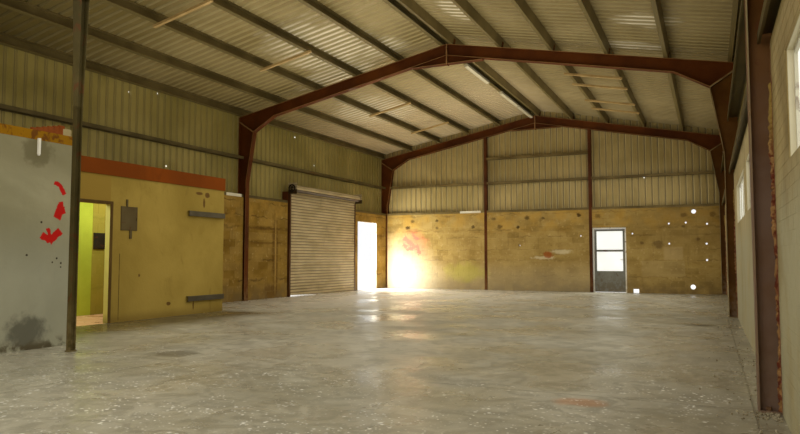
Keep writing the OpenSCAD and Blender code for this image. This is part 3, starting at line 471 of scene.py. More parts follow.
frame_paint = oxide("red_oxide_paint", (72, 32, 4), (102, 52, 10), (118, 86, 50), (150, 112, 68))
dress(frame_paint, "left_columns", "left_rafters", "right_rafters")
dress(oxide("post_oxide_paint", (66, 32, 8), (92, 48, 16), (104, 70, 38)), "wall_posts")
worn_paint = oxide("worn_column_paint", (84, 50, 12), (116, 76, 26), (134, 110, 84), (160, 144, 104))
bloom = worn_paint.times(worn_paint.slide("Z", 3.2, 1.7), worn_paint.slide("Y", -2, -4),
                         worn_paint.patches(0.5, 6, 0.25, 0.6, 0.35, 0.9))
worn_paint.stain(bloom, (128, 104, 88))
dress(worn_paint, "right_columns")
dress(oxide("dark_prop_paint", (62, 54, 24), (86, 74, 38), (112, 98, 62)), "rafter_prop")

# Bolts: pairs of hexagon heads through the knee, ridge and base plates and the
# purlin cleats, browned like the frames they hold.
frame_places = [-1.5 * bay, -0.5 * bay, 0.5 * bay, 1.5 * bay]
half_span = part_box("floor_slab")[1][0]
slope = math.radians(11.3)
eaves = Vector((half_span, 0.0, floor_top + 4.82))
knee_in, knee_out = Vector((5.405, 0.0, 4.5)), Vector((5.88, 0.0, 4.81))
knee_line = (knee_out - knee_in).normalized()
knee_up = Vector((-knee_line.z, 0.0, knee_line.x))
knee_turn = math.atan2(knee_up.x, knee_up.z)
plate_face = 0.023
first_purlin, both_ends, purlins = 0.08, 0.23, 6
purlin_step = (half_span - both_ends) / (purlins - 1)
purlin_run = [(first_purlin + i * purlin_step) / math.cos(slope) for i in range(purlins)]
knee_bolt, base_bolt, cleat_bolt = (0.015, 0.015, 0.014), (0.018, 0.018, 0.024), (0.010, 0.010, 0.026)
knee_runs, ridge_heights = (0.09, 0.22, 0.35, 0.48), (5.68, 5.80, 5.92, 6.02)
base_places, cleat_lifts = (5.69, 5.81), (0.06, 0.12)
bolt_aside = 0.045
bolts = []
for y in frame_places:
    for side in (-1, 1):
        for beside in (-bolt_aside, bolt_aside):
            for run in knee_runs:
                for face in (-plate_face, plate_face):
                    at = knee_in + knee_line * run + knee_up * face
                    bolts.append(((side * at.x, y + beside, at.z), knee_bolt, (0, side * knee_turn, 0)))
            for z in ridge_heights:
                bolts.append(((side * plate_face, y + beside, z), knee_bolt, (0, math.pi / 2, 0)))
            for x in base_places:
                bolts.append(((side * x, y + beside, floor_top + 0.028), base_bolt, (0, 0, 0)))
            for run in purlin_run:
                for lift in cleat_lifts:
                    x = half_span - run * math.cos(slope) + lift * math.sin(slope)
                    z = eaves.z + run * math.sin(slope) + lift * math.cos(slope)
                    turn = (0, side * (math.pi / 2 + slope), 0)
                    bolts.append(((side * x, y + beside * 0.7, z), cleat_bolt, turn))
repeat("frame_bolts", "bolt", bolts, oxide("rusted_bolt", (70, 44, 24), (112, 76, 44), (120, 92, 64)))

# Purlins and girts: cold-rolled lipped channels, galvanised, gone dull and greenish
# brown, with a length of pale capping left on two of the girts.


def above_rafter(made):
    """How far a place lies above the rafters' top, square to the slope."""
    rise = made.plus(made.times(made.size_of(made.along("X")), math.sin(slope)),
                     made.times(made.along("Z"), math.cos(slope)))
    return made.minus(rise, eaves.x * math.sin(slope) + eaves.z * math.cos(slope))


def zinc(name, dull, bright, streak=0.5):
    """Galvanised steel gone dull, with brown streaks."""
    made = Finish(name, 0.45, 0.3)
    made.paint(made.patches(0.7, 5, 0.3, 0.7), dull, bright)
    streaks = made.patches(0.35, 6, 0.62, 0.72, 0.0, streak, stretch=(1, 0.25, 1), shift=(7, 7, 7))
    made.stain(streaks, (104, 70, 34))
    made.relief(made.cloud(0.03, 3), 0.0006)
    return made


def capped_zinc(name, dull, bright, axis, low, high):
    """The same, with a strip of pale capping from low to high along the girt."""
    made = zinc(name, dull, bright)
    made.stain(made.panel(axis + "Z", (low, 2.790), (high, 2.882), 0.004), (236, 230, 204))
    return made


purlin_zinc = zinc("galvanised_purlin", (92, 78, 42), (120, 104, 62))
# Painted light: the underside of each purlin's bottom flange is painted lighter, as lit from below.
purlin_zinc.stain(purlin_zinc.fade(above_rafter(purlin_zinc), 0.006, 0.003), (116, 102, 60))
dress(purlin_zinc, "left_purlins", "right_purlins")
dress(zinc("right_girt_zinc", (74, 64, 34), (98, 86, 50)), "right_girts")
dress(capped_zinc("left_girt_zinc", (82, 70, 38), (108, 94, 56), "Y", 3.45, 4.05), "left_girts")
dress(capped_zinc("gable_girt_zinc", (104, 88, 50), (134, 116, 70), "X", -2.73, -1.96), "gable_girts")

# Roof: trapezoidal steel sheets from eaves to ridge, bare galvanised and blotched by weather,
# darker in the ribs with painted shade, painted darker over the near part of the left slope and
# on the right slope and lighter further off, with caps and flashings folded from the same coil.
rib_step = 0.2
crest_half, web = 0.040, 0.004
crest_middle, pan_middle = 0.0372, 0.0022
sheet_lift = 0.2


def sheet(name, dark, light, rough, metal, streak):
    """Weathered sheet: cloudy zinc or coating with brown stains."""
    made = Finish(name, rough, metal)
    made.paint(made.patches(1.5, 4, 0.32, 0.68, warp=0.4), dark, light)
    made.stain(made.patches(0.9, 4, 0.58, 0.78, 0.0, streak, shift=(8, 2, 6)), (118, 88, 46))
    made.polish(made.patches(0.6, 4, 0.3, 0.7, rough - 0.08, rough + 0.18))
    made.relief(made.cloud(0.8, 1), 0.002)
    return made


def rib_lines(made, ribs, recess, groove, line):
    """Painted light that lightens each rib's hollow against its shade, and a painted shade line where the
    hollow is deepest.
    """
    made.stain(made.fade(ribs, 0.046, 0.038), (230, 214, 160), recess)
    made.stain(made.fade(ribs, line, line * 0.6), (60, 46, 20), groove)


def outer_skin(made, lift, ribs):
    """1 on the weather side of a sheet; lift is measured from its inner face."""
    middle = made.fade(ribs, crest_half, crest_half + web, crest_middle, pan_middle)
    return made.fade(made.minus(lift, middle), -0.0005, 0.0005)


roof_zinc = sheet("weathered_roof_sheet", (132, 114, 66), (158, 140, 92), 0.45, 0.15, 0.2)
ribs = roof_zinc.beside("Y", rib_step)
# Painted light and shade in the roof's rib hollows.
rib_lines(roof_zinc, ribs, recess=0.38, groove=0.45, line=0.024)
# Painted shade: the near part of the left slope is darkened.
painted_shade_near_left = roof_zinc.times(roof_zinc.slide("Y", 0.5, -3.5), roof_zinc.slide("X", -0.5, -3.5))
roof_zinc.stain(painted_shade_near_left, (90, 76, 28), 0.85)
# Painted shade: the sheets darken towards the right slope.
roof_zinc.stain(roof_zinc.slide("X", -0.8, 1.5, 0.0, 0.35), (106, 90, 48))
# Painted light: the sheets lighten further off, most on the left slope.
painted_light_far_off = roof_zinc.times(roof_zinc.slide("Y", 4.4, 9.5, 0.0, 0.6), roof_zinc.slide("X", 1.6, -0.6, 0.2, 1.2))
roof_zinc.stain(painted_light_far_off, (206, 186, 148))
glints = (((-2.3, 2.6), (0.9, 1.5)), ((-2.9, 4.1), (0.9, 0.5)), ((-3.6, 7.6), (0.9, 1.4)),
          ((-1.4, 3.6), (0.5, 0.5)), ((4.4, 2.5), (0.45, 0.35)), ((4.0, 4.1), (0.6, 0.25)),
          ((0.9, 2.3), (0.3, 0.6)))
glint = roof_zinc.blots("XY", glints, 0.6, 0.8, 0.4)
roof_zinc.stain(glint, (240, 230, 200), roof_zinc.fade(ribs, 0.050, 0.075, 0.1, 0.75))
outer = roof_zinc.mix(roof_zinc.patches(2.4, 3, 0.35, 0.65, shift=(2, 9, 4)),
                      (150, 142, 122), (178, 170, 150))
outer = roof_zinc.mix(roof_zinc.times(roof_zinc.fade(ribs, 0.046, 0.038), 0.25), outer, (120, 108, 84))
lift = roof_zinc.minus(above_rafter(roof_zinc), sheet_lift)
roof_zinc.stain(outer_skin(roof_zinc, lift, ribs), outer)
dress(roof_zinc, "left_roof_sheet", "right_roof_sheet")
dress(sheet("plain_zinc", (140, 130, 100), (170, 160, 132), 0.42, 0.3, 0.3), "ridge_cap", "flashings")
dress(zinc("gutter_zinc", (150, 146, 130), (182, 178, 162), 0.3), "gutters")

# Wall sheets: the same profile set upright above the blocks, coated cream, dusty and
# greenish inside with painted light and shade in the rib hollows, and a few painted
# glowing spots for screw holes with daylight showing through.


def wall_sheet(name, dark, light, streak, axis, plane, **lines):
    """Wall sheet, greenish and dusty inside with painted light and shade in its rib hollows, and sun-bleached
    cream outside.
    """
    made = sheet(name, dark, light, 0.5, 0.05, streak)
    ribs = made.beside(axis, rib_step, rib_step / 2)
    rib_lines(made, ribs, **lines)
    lift = made.minus(made.size_of(made.along("X" if axis == "Y" else "Y")), plane)
    cream = made.mix(made.patches(1.6, 3, 0.3, 0.7, stretch=(1, 1, 0.5), shift=(4, 1, 7)),
                     (168, 160, 130), (194, 186, 156))
    runs = made.patches(0.3, 3, 0.56, 0.76, 0.0, 0.4, stretch=(1, 1, 0.1), shift=(2, 2, 0))
    cream = made.mix(runs, cream, (140, 122, 88))
    cream = made.mix(made.slide("Z", 3.2, 2.75, 0.0, 0.3), cream, (136, 118, 84))
    made.stain(outer_skin(made, lift, ribs), cream)
    return made


def painted_pinhole_glow(made, axis, *places):
    """Painted glow: glowing spots for screw holes seen against the sky; each place is (across, height)."""
    made.sockets["Emission Color"].default_value = (1.0, 1.0, 0.94, 1.0)
    holes = [(place, (0.022, 0.022)) for place in places]
    made.join(made.blots(axis + "Z", holes, 0.2, 0.3, 0.05), made.sockets["Emission Strength"])


side_cream = wall_sheet("cream_side_sheet", (134, 119, 56), (158, 141, 76), 0.2, "Y", half_span,
                        recess=0.1, groove=0.45, line=0.014)
painted_pinhole_glow(side_cream, "Y", (6.75, 4.83), (7.82, 4.11), (1.58, 3.31), (0.47, 4.77), (1.29, 4.93))
dress(side_cream, "left_wall_sheet", "right_wall_sheet")
gable_cream = wall_sheet("cream_gable_sheet", (154, 134, 78), (180, 158, 100), 0.15, "X", end_face,
                         recess=0.45, groove=0.6, line=0.020)
painted_pinhole_glow(gable_cream, "X", (3.47, 3.79), (5.3, 2.86))
dress(gable_cream, "gable_sheets")

# Sheet screws: a galvanised hexagon head with its washer on each rib, driven from
# outside over every purlin and girt.
screw, head = (0.008, 0.008, 0.010), 0.003
side_girts, gable_girts = (2.84, 3.84, 4.86), (2.84, 3.84, 4.70)
roof_ribs = [-12.6 + i * rib_step for i in range(127)]
side_ribs = [-12.5 + i * rib_step for i in range(126)]
gable_ribs = [-5.7 + i * rib_step for i in range(58)]
crest = 0.039
deck = sheet_lift + crest
side_crest, gable_crest = half_span + crest, end_face + crest
screws = []
for side in (-1, 1):
    for run in purlin_run[1:]:
        x = half_span - run * math.cos(slope) + deck * math.sin(slope)
        z = eaves.z + run * math.sin(slope) + deck * math.cos(slope)
        screws += [((side * x, y, z + head), screw, (0, side * slope, 0)) for y in roof_ribs]
    for z in side_girts:
        screws += [((side * (side_crest + head), y, z), screw, (0, math.pi / 2, 0)) for y in side_ribs]
    for z in gable_girts:
        screws += [((x, side * (gable_crest + head), z), screw, (math.pi / 2, 0, 0)) for x in gable_ribs]
repeat("sheet_screws", "bolt", screws, zinc("screw_zinc", (140, 136, 120), (176, 172, 156)))

# Gable walls: hollow concrete blocks laid in running bond to door height, under a
# thin yellow lime wash that damp has marked with brown bands along the courses.
masonry_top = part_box("left_block_wall")[1][2]
bed_gap, end_gap, clear = 0.010, 0.006, 0.004
smallest = 0.02


def cut_out(areas, hole):
    """Takes one rectangle out of a list of them; each is (start, end, low, high)."""
    left = []
    for start, end, low, high in areas:
        if hole[0] >= end or hole[1] <= start or hole[2] >= high or hole[3] <= low:
            left.append((start, end, low, high))
            continue
        left += [(start, hole[0], low, high), (hole[1], end, low, high)]
        middle = (max(start, hole[0]), min(end, hole[1]))
        left += [(*middle, low, hole[2]), (*middle, hole[3], high)]
    return [a for a in left if a[1] - a[0] > smallest and a[3] - a[2] > smallest]


def lay_blocks(name, axis, plane, proud, spans, finish, holes, seed, module=(0.4, 0.2)):
    """Courses of blocks on a wall face that is square to X or Y."""
    areas = []
    long, tall = module
    for start, end in spans:
        for course in range(math.ceil((masonry_top - floor_top) / tall)):
            low = floor_top + course * tall + bed_gap / 2
            high = min(floor_top + (course + 1) * tall, masonry_top) - bed_gap / 2
            first = math.floor(start / long) * long - long / 2 * (course % 2)
            for i in range(math.ceil((end - first) / long)):
                a = max(first + i * long + end_gap / 2, start)
                b = min(first + (i + 1) * long - end_gap / 2, end)
                if b - a > smallest and high - low > smallest:
                    areas.append((a, b, low, high))
    for start, end, low, high in holes:
        areas = cut_out(areas, (start - clear, end + clear, low - clear, high + clear))
    depth = 0.02
    middle = plane + proud - math.copysign(depth / 2, proud)
    places = []
    for a, b, low, high in areas:
        across, up = (a + b) / 2, (low + high) / 2
        if axis == "X":
            places.append(((middle, across, up), (depth, b - a, high - low), (0, 0, 0)))
        else:
            places.append(((across, middle, up), (b - a, depth, high - low), (0, 0, 0)))
    repeat(name, "block", places, finish, seed)


def bands(made, heights, shift):
    """Ragged level stains, 1 on them; each height comes with its half width."""
    wander = made.times(made.minus(made.cloud(0.22, 6, shift=shift), 0.5), 0.22)
    level = made.plus(made.along("Z"), wander)
    lines = [made.fade(made.size_of(made.minus(level, height)), half * 1.3, 0.0) for height, half in heights]
    return made.times(made.most(*lines), made.patches(0.6, 6, 0.42, 0.60, stretch=(1, 1, 2), shift=shift))


def wash(name, dark, light, brown, laid, heights=(), shift=(0, 0, 0), mark=0.4):
    """Stained lime wash: golden on top, greyer below, darker at the foot."""
    made = Finish(name, 0.88, gloss=0.2)
    made.paint(made.patches(0.7, 5, 0.32, 0.66, stretch=(1, 1, 1.6), warp=0.3), dark, light)
    if laid:
        made.stain(made.fade(tone_of(made), 0.0, 1.0, 0.0, 0.24), (180, 152, 92))
        made.stain(made.fade(tone_of(made), 0.16, 0.10, 0.0, 0.18), (104, 80, 38))
    damp = made.patches(1.1, 4, 0.54, 0.74, 0.0, 0.35, stretch=(1, 1, 1.8), shift=(5, 5, 2), warp=0.3)
    made.stain(damp, brown)
    drips = made.patches(0.16, 5, 0.60, 0.76, 0.0, 0.35, stretch=(1, 1, 0.12), shift=(4, 8, 0))
    made.stain(drips, (96, 70, 30))
    made.stain(made.patches(0.07, 6, 0.40, 0.30, 0.0, 0.30, shift=(1, 5, 9)), (98, 74, 34))
    made.stain(made.patches(0.10, 6, 0.58, 0.70, 0.0, 0.30, shift=(8, 1, 3)), (206, 180, 122))
    lime = made.patches(0.5, 6, 0.4, 0.65, 0.0, 0.6, shift=(7, 3, 1))
    made.stain(made.slide("Z", 1.9, 2.4), (180, 140, 58), lime)
    if heights:
        made.stain(bands(made, heights, shift), (78, 54, 20), mark)
    made.stain(made.slide("Z", 0.7, 0.1), (112, 92, 58), made.patches(0.3, 6, 0.3, 0.6, 0.2, 0.8))
    made.relief(made.cloud(0.02, 5), 0.003)
    return made


def bleach(made, axis, skin):
    """The sun has paled the wall's outer face, whose plane is skin metres out."""
    pale = made.mix(made.patches(1.2, 3, 0.3, 0.7, stretch=(1, 1, 0.5), shift=(2, 8, 5), warp=0.3),
                    (142, 130, 98), (176, 164, 132))
    made.stain(made.fade(made.size_of(made.along(axis)), skin - 0.06, skin - 0.05, 0.0, 0.8), pale)


def brush(made, axes, start, end, half, grain):
    """A ragged straight stroke of paint from start to end, 1 on it."""
    run, rise = end[0] - start[0], end[1] - start[1]
    length = math.hypot(run, rise)
    across, up = made.along(axes[0]), made.along(axes[1])
    far = made.plus(made.times(across, run / length), made.times(up, rise / length))
    far = made.minus(far, (start[0] * run + start[1] * rise) / length + length / 2)
    off = made.minus(made.times(up, run / length), made.times(across, rise / length))
    off = made.minus(off, (start[1] * run - start[0] * rise) / length)
    rough = made.times(made.minus(made.cloud(0.06, 4), 0.5), grain)
    off, far = made.plus(made.size_of(off), rough), made.plus(made.size_of(far), rough)
    return made.times(made.fade(off, half, half * 0.8), made.fade(far, length / 2, length / 2 - half * 0.3))


def gable_marks(made):
    """What is splashed and scraped on the inner face of the far gable, with a painted pool of daylight by the
    side doorway and areas made darker and paler.
    """
    plain = made.tone
    made.stain(made.slide("X", 2.9, 4.2), (92, 68, 24), made.slide("Z", 1.0, 2.0, 0.0, 0.35))
    made.stain(made.slide("X", 3.4, 1.9), (190, 176, 140), made.slide("Z", 1.3, 0.5, 0.0, 0.3))
    # Painted light: a pool of daylight from the side doorway.
    doorway_glow = made.blot("XZ", (-5.2, 0.3), (1.1, 1.1), 0.15, 1.9, 0.1)
    made.stain(doorway_glow, (246, 232, 202), 0.75)
    strokes = (((-4.85, 1.50), (-4.30, 1.66)), ((-4.62, 2.10), (-4.36, 1.86)),
               ((-4.40, 1.60), (-4.30, 1.34)), ((-4.98, 1.72), (-4.80, 1.60)))
    spray = made.most(brush(made, "XZ", (-4.95, 1.98), (-4.52, 1.62), 0.09, 0.30),
                      *[brush(made, "XZ", start, end, 0.07, 0.30) for start, end in strokes])
    haze = made.times(made.blot("XZ", (-4.58, 1.72), (0.50, 0.44), 0.7, 0.9, 0.2), 0.45)
    made.stain(made.most(spray, haze), (224, 92, 84), 0.72)
    made.stain(made.blot("XZ", (-2.55, 0.72), (0.68, 0.32), 0.7, 0.9, 0.3), (170, 164, 52), 0.45)
    scrape = made.most(made.blot("XZ", (0.22, 1.22), (0.36, 0.05), 0.9, 0.8, 0.1),
                       made.blot("XZ", (0.85, 1.42), (0.30, 0.07), 0.8, 0.9, 0.1))
    made.stain(scrape, (212, 198, 160), 0.6)
    made.stain(made.blot("XZ", (0.40, 1.32), (0.15, 0.11), 0.9, 0.6, 0.08), (150, 76, 26), 0.8)
    made.stain(made.panel("XZ", (4.02, 1.15), (4.57, 1.56), 0.04), (182, 158, 108), 0.45)
    made.stain(made.panel("XZ", (3.35, 0.62), (4.62, 1.12), 0.04), (170, 150, 104), 0.25)
    for x, z, half in ((3.86, 1.64, 0.15), (3.38, 1.69, 0.06), (5.0, 1.79, 0.07),
                       (4.62, 2.54, 0.09), (5.44, 2.55, 0.09), (4.60, 2.2, 0.05)):
        made.stain(made.blot("XZ", (x, z), (half, half * 0.8), 0.8, 0.8, 0.1), (84, 62, 30), 0.6)
    knots = ((-4.78, 2.32), (-3.62, 2.30), (-2.25, 2.31), (-1.27, 2.29), (-0.63, 2.27), (-1.49, 2.57),
             (-0.31, 2.58), (0.24, 2.56), (1.43, 2.63), (2.04, 2.58), (-3.62, 2.56), (-4.6, 2.55))
    knot_halves, knot_shares = (0.085, 0.055, 0.07), (0.85, 0.55, 0.7, 0.6)
    for i, middle in enumerate(knots):
        half = knot_halves[i % len(knot_halves)]
        knot = made.blot("XZ", middle, (half, half * 0.8), 1.0, 0.9, 0.05)
        made.stain(knot, (56, 36, 14), knot_shares[i % len(knot_shares)])
    off_gable = made.size_of(made.minus(made.along("Y"), gable_face))
    made.paint(made.fade(off_gable, 0.06, 0.05), plain, made.tone)


gable_bands = ((2.18, 0.035), (1.94, 0.025), (1.50, 0.018), (1.14, 0.03), (0.62, 0.02), (2.72, 0.03))
gable_mortar = wash("stained_mortar", (148, 122, 66), (176, 150, 94), (116, 90, 44), False, gable_bands)
gable_blocks = wash("gable_block_wash", (142, 116, 58), (168, 142, 80), (112, 86, 36), True, gable_bands)
for wall_paint in (gable_mortar, gable_blocks):
    gable_marks(wall_paint)
    bleach(wall_paint, "Y", end_face)
dress(gable_mortar, "gable_block_walls")

inner_flange = 5.62
post_places, post_half = (-1.78, 1.80), 0.05
gable_door = (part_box("gable_door_head")[0][0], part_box("gable_door_head")[1][0],
              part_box("gable_door_head")[1][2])
middle_panel = (post_places[0] + post_half, post_places[1] - post_half)
right_panel = (gable_door[1], inner_flange)
post_spans = [(-inner_flange, post_places[0] - post_half), middle_panel, (gable_door[0], inner_flange)]


def knocked_out(panel_ends, share, height, reach):
    """A square that leaves a hole free, so far across its panel and up from the floor."""
    middle = panel_ends[0] + share * (panel_ends[1] - panel_ends[0])
    return (middle - reach, middle + reach, floor_top + height - reach, floor_top + height + reach)


door_hole, foot_hole = (gable_door[0], gable_door[1], 0.0, gable_door[2]), (3.07, 3.27, 0.0, 0.24)
right_knocks = ((0.07, 1.89), (0.47, 2.19), (0.47, 1.56), (0.65, 2.21), (0.87, 2.16), (0.86, 1.55),
                (0.86, 1.05))
middle_knocks = ((0.92, 1.84), (0.33, 1.54))
flue, drain = knocked_out(right_panel, 0.735, 2.55, 0.08), knocked_out(right_panel, 0.71, 0.22, 0.09)
far_holes = [door_hole, foot_hole]
far_holes += [knocked_out(right_panel, share, height, 0.04) for share, height in right_knocks]
far_holes += [knocked_out(middle_panel, share, height, 0.04) for share, height in middle_knocks]
far_holes += [flue, drain]
proud = 0.004
lay_blocks("far_gable_blocks", "Y", gable_face, -proud, post_spans, gable_blocks, far_holes, 5)
lay_blocks("far_gable_blocks_outside", "Y", end_face, proud, post_spans, gable_blocks, far_holes, 6)
lay_blocks("near_gable_blocks", "Y", -gable_face, proud, post_spans, gable_blocks, (), 7)
lay_blocks("near_gable_blocks_outside", "Y", -end_face, -proud, post_spans, gable_blocks, (), 8)

# Left wall: the same blocks between the frames, with drips beside the shutter, and
# painted green where the wall closes the office.
side_spans = [(a + half_flange, b - half_flange) for a, b in zip(frame_places, frame_places[1:])]
office_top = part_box("office_roof")[1][2]
partition_end = -0.52


def office_side(made):
    """The office's own green paint on the hall wall behind it, left bare further in."""
    inner = made.slide("X", left_face - 0.06, left_face - 0.05)
    inside = made.panel("YZ", (store_end, floor_top), (partition_end, office_top), 0.01)
    patchy = made.mix(made.patches(0.6, 5, 0.3, 0.7), (160, 172, 50), (176, 188, 60))
    made.stain(inside, patchy, inner)
    bare = made.panel("YZ", (partition_end, floor_top), (office_end, office_top), 0.01)
    made.stain(made.times(inner, bare), (156, 150, 52), 0.7)


left_bands = ((2.33, 0.02), (2.02, 0.045), (1.64, 0.02), (1.16, 0.035), (0.63, 0.035), (2.70, 0.02))
left_marks = (left_bands, (3, 0, 5), 0.75)
left_blocks = wash("left_block_wash", (122, 92, 26), (150, 118, 46), (94, 66, 18), True, *left_marks)
for middle, half, share in (((5.50, 1.45), (0.10, 0.85), 0.7), ((5.62, 1.2), (0.06, 0.95), 0.6),
                            ((5.35, 0.30), (0.30, 0.18), 0.6), ((5.0, 2.02), (0.5, 0.05), 0.6),
                            ((5.1, 1.62), (0.7, 0.03), 0.5)):
    left_blocks.stain(left_blocks.blot("YZ", middle, half, 0.8, 0.9, 0.15), (92, 62, 18), share)
pale_drip = left_blocks.blot("YZ", (5.56, 1.30), (0.035, 0.95), 0.6, 0.8, 0.15)
left_blocks.stain(pale_drip, (178, 146, 76), 0.7)
left_mortar = wash("left_mortar", (126, 98, 34), (154, 124, 54), (98, 72, 26), False, *left_marks)
for wall_paint in (left_blocks, left_mortar):
    office_side(wall_paint)
    bleach(wall_paint, "X", half_span)
dress(left_mortar, "left_block_wall")
shutter_ends = (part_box("shutter_guides")[0][1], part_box("shutter_guides")[1][1])
side_door = (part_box("side_door_frame")[0][1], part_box("side_door_frame")[1][1],
             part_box("side_door_frame")[1][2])
shutter_hole = (shutter_ends[0] - 0.03, shutter_ends[1] + 0.03, 0.0, 3.2)
side_door_hole = (side_door[0], side_door[1], 0.0, side_door[2])
smooth_room = (store_end, partition_end, 0.0, 3.0)
doors = (shutter_hole, side_door_hole)
lay_blocks("left_blocks", "X", left_face, proud, side_spans, left_blocks, (*doors, smooth_room), 9)
lay_blocks("left_blocks_outside", "X", -half_span, -proud, side_spans, left_blocks, doors, 10)

# Walls over the doorways: a few courses on each opening's lintel, washed like the
# blocks beside them and painted to match where they belong to a room.
head_paint = wash("doorway_head_wash", (126, 98, 42), (150, 120, 58), (98, 72, 28), False)
head_paint.stain(head_paint.panel("XY", (-4.3, -3.0), (-3.9, -1.0)), (150, 122, 50))
head_paint.stain(head_paint.panel("XY", (-2.6, -12.0), (-2.1, -9.0)), (150, 144, 118))
dress(head_paint, "doorway_heads")

# Window wall: smooth cream render in the far bays; in the near bay the small bricks
# show through a thin wash, and rusty mortar has broken out beside each column.
window_half, sill, window_top = 1.4, 1.8, 2.45
window_holes = [(y - window_half, y + window_half, sill, window_top) for y in window_middles]
render_paint = Finish("chalky_render", 0.85)
cream = render_paint.mix(render_paint.patches(1.4, 6, 0.3, 0.7, warp=0.5), (160, 142, 92), (190, 172, 122))
olive = render_paint.mix(render_paint.patches(1.0, 6, 0.3, 0.7, warp=0.5), (134, 114, 64), (172, 152, 98))
near_bay = render_paint.slide("Y", -4.0, -4.4)
render_paint.paint(near_bay, cream, olive)
runs = render_paint.patches(0.5, 6, 0.55, 0.8, 0.0, 0.5, stretch=(1, 1, 0.25), shift=(4, 2, 0))
render_paint.stain(runs, (118, 102, 64))
chalk = render_paint.patches(0.7, 5, 0.3, 0.6, 0.3, 0.9, shift=(1, 6, 2))
render_paint.stain(render_paint.slide("Z", 2.0, 1.3), (174, 168, 134), chalk)
rust_edges = [((y, 1.4), (0.06, 1.5)) for y in (-4.30, 4.1)]
render_paint.stain(render_paint.blots("YZ", rust_edges, 0.9, 0.8, 0.1), (120, 56, 28), 0.8)
reveals = render_paint.panel("ZX", (1.7, 5.0), (2.6, 5.876), 0.002)
render_paint.stain(render_paint.slide("X", right_face + 0.004, right_face + 0.010), (220, 212, 182), reveals)
render_paint.relief(render_paint.cloud(0.03, 6), 0.003)
dress(render_paint, "right_block_wall")
thin_wash, brick = -0.0015, (0.24, 0.085)
lay_blocks("right_bricks", "X", right_face, thin_wash, side_spans[:1], render_paint, window_holes, 12, brick)
lay_blocks("right_blocks_outside", "X", half_span, proud, side_spans, render_paint, window_holes, 13)


def put(name, corners, faces, finish, body="building"):
    """Makes a mesh piece that rides on the building, with its faces turned outward."""
    form = bpy.data.meshes.new(name)
    form.from_pydata(corners, [], faces)
    form.materials.append(finish.material)
    turned = bmesh.new()
    turned.from_mesh(form)
    bmesh.ops.recalc_face_normals(turned, faces=turned.faces)
    turned.to_mesh(form)
    turned.free()
    piece = bpy.data.objects.new(name, form)
    scene.collection.objects.link(piece)
    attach(piece, body)


def ragged_joint(corners, faces, y, way, low, high):
    """A bead of broken mortar up the corner between a column and the wall face."""
    first, back = len(corners), right_face + 0.002
    steps = round((high - low) / 0.018)
    for i in range(steps + 1):
        z = low + i * (high - low) / steps
        swell = 0.6 + 0.4 * math.sin(z * 3.1 + y) + 0.35 * math.sin(z * 11.0 + 2.0 * y)
        out = 0.006 + max(0.0, swell) * 0.012 + dice.uniform(0.0, 0.014)
        beside = 0.005 + dice.uniform(0.0, 0.016)
        corners += [(back, y - way * 0.004, z), (right_face - out, y - way * 0.004, z),
                    (right_face - out * 0.6, y + way * beside, z), (back, y + way * beside * 1.6, z)]
    for i in range(steps):
        for j in range(4):
            a, b = first + i * 4 + j, first + i * 4 + (j + 1) % 4
            faces.append((a, b, b + 4, a + 4))
    last = first + steps * 4
    faces += [(first, first + 3, first + 2, first + 1), (last, last + 1, last + 2, last + 3)]


corners, faces = [], []
for y in frame_places:
    for way in (-1, 1):
        if abs(y + way * half_flange) < frame_places[-1]:
            ragged_joint(corners, faces, y + way * half_flange, way, floor_top + 0.02, masonry_top - 0.30)
joint_paint = Finish("rusty_joint_mortar", 0.9)
joint_paint.paint(joint_paint.patches(0.05, 5, 0.42, 0.58), (104, 46, 24), (158, 118, 70))
joint_paint.stain(joint_paint.slide("Z", 1.9, 2.3), (150, 122, 58))
joint_paint.relief(joint_paint.cloud(0.012, 4), 0.003)
put("column_joint_mortar", corners, faces, joint_paint)

# Windows: long steel frames of four lights, painted pale, glazed with dusty glass
# that passes some daylight, its inner face painted near white and glowing as painted daylight.
dress(oxide("pale_frame_paint", (196, 190, 166), (222, 218, 198), (150, 140, 112)), "window_frames")


def dusty_glass(node, axis):
    """Glass that lies square to an axis; its inner face is painted near white and glows, a painted stand-in
    for the daylight behind it.
    """
    low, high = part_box(node)
    middle = (low["XYZ".index(axis)] + high["XYZ".index(axis)]) / 2
    made = Finish("dusty_" + node, 0.5, gloss=0.2)
    made.sockets["Transmission Weight"].default_value = 0.3
    made.sockets["IOR"].default_value = 1.2
    made.sockets["Emission Color"].default_value = (1.0, 1.0, 0.97, 1.0)
    inner = made.slide(axis, middle + 0.0008, middle - 0.0008)
    # Painted light: the inner face glows and is painted near white.
    made.join(made.times(inner, 0.62), made.sockets["Emission Strength"])
    dust = made.patches(0.3, 5, 0.3, 0.7)
    made.paint(inner, made.mix(dust, (112, 118, 112), (150, 156, 148)),
               made.mix(dust, (232, 236, 226), (252, 254, 248)))
    dress(made, node)


dusty_glass("window_glass", "X")

# Doorways and gable door: a folded white lining round each opening, and a steel-framed
# leaf with two lights over a flat lower panel, grey, scuffed at the foot, on dark hinges
# and with satin lever handles.
white_lining = oxide("white_lining_paint", (230, 228, 216), (246, 244, 236), (200, 190, 164))
dress(white_lining, "side_door_frame", "gable_door_jambs", "gable_door_head")
dress(oxide("dark_door_steel", (66, 60, 46), (92, 86, 70), (120, 112, 90)), "gable_door_hinges")
dress(oxide("grey_door_paint", (108, 108, 100), (134, 134, 124), (108, 100, 82)), "gable_door_leaf")
dusty_glass("gable_door_glass", "Y")
satin = Finish("satin_steel", 0.3, 0.9)
satin.paint(satin.patches(0.02, 3, 0.3, 0.7), (150, 146, 136), (190, 186, 176))
dress(satin, "gable_door_handle")

# Roller shutter: interlocking curved slats coated beige, rolled on a barrel over the
# opening and pulled by a chain wheel, running in folded guides between two steel posts.
slat_step, slat_start = 0.087, 0.1317
roll_step, roll_height, roll_radius = 0.07, 3.222, 0.105


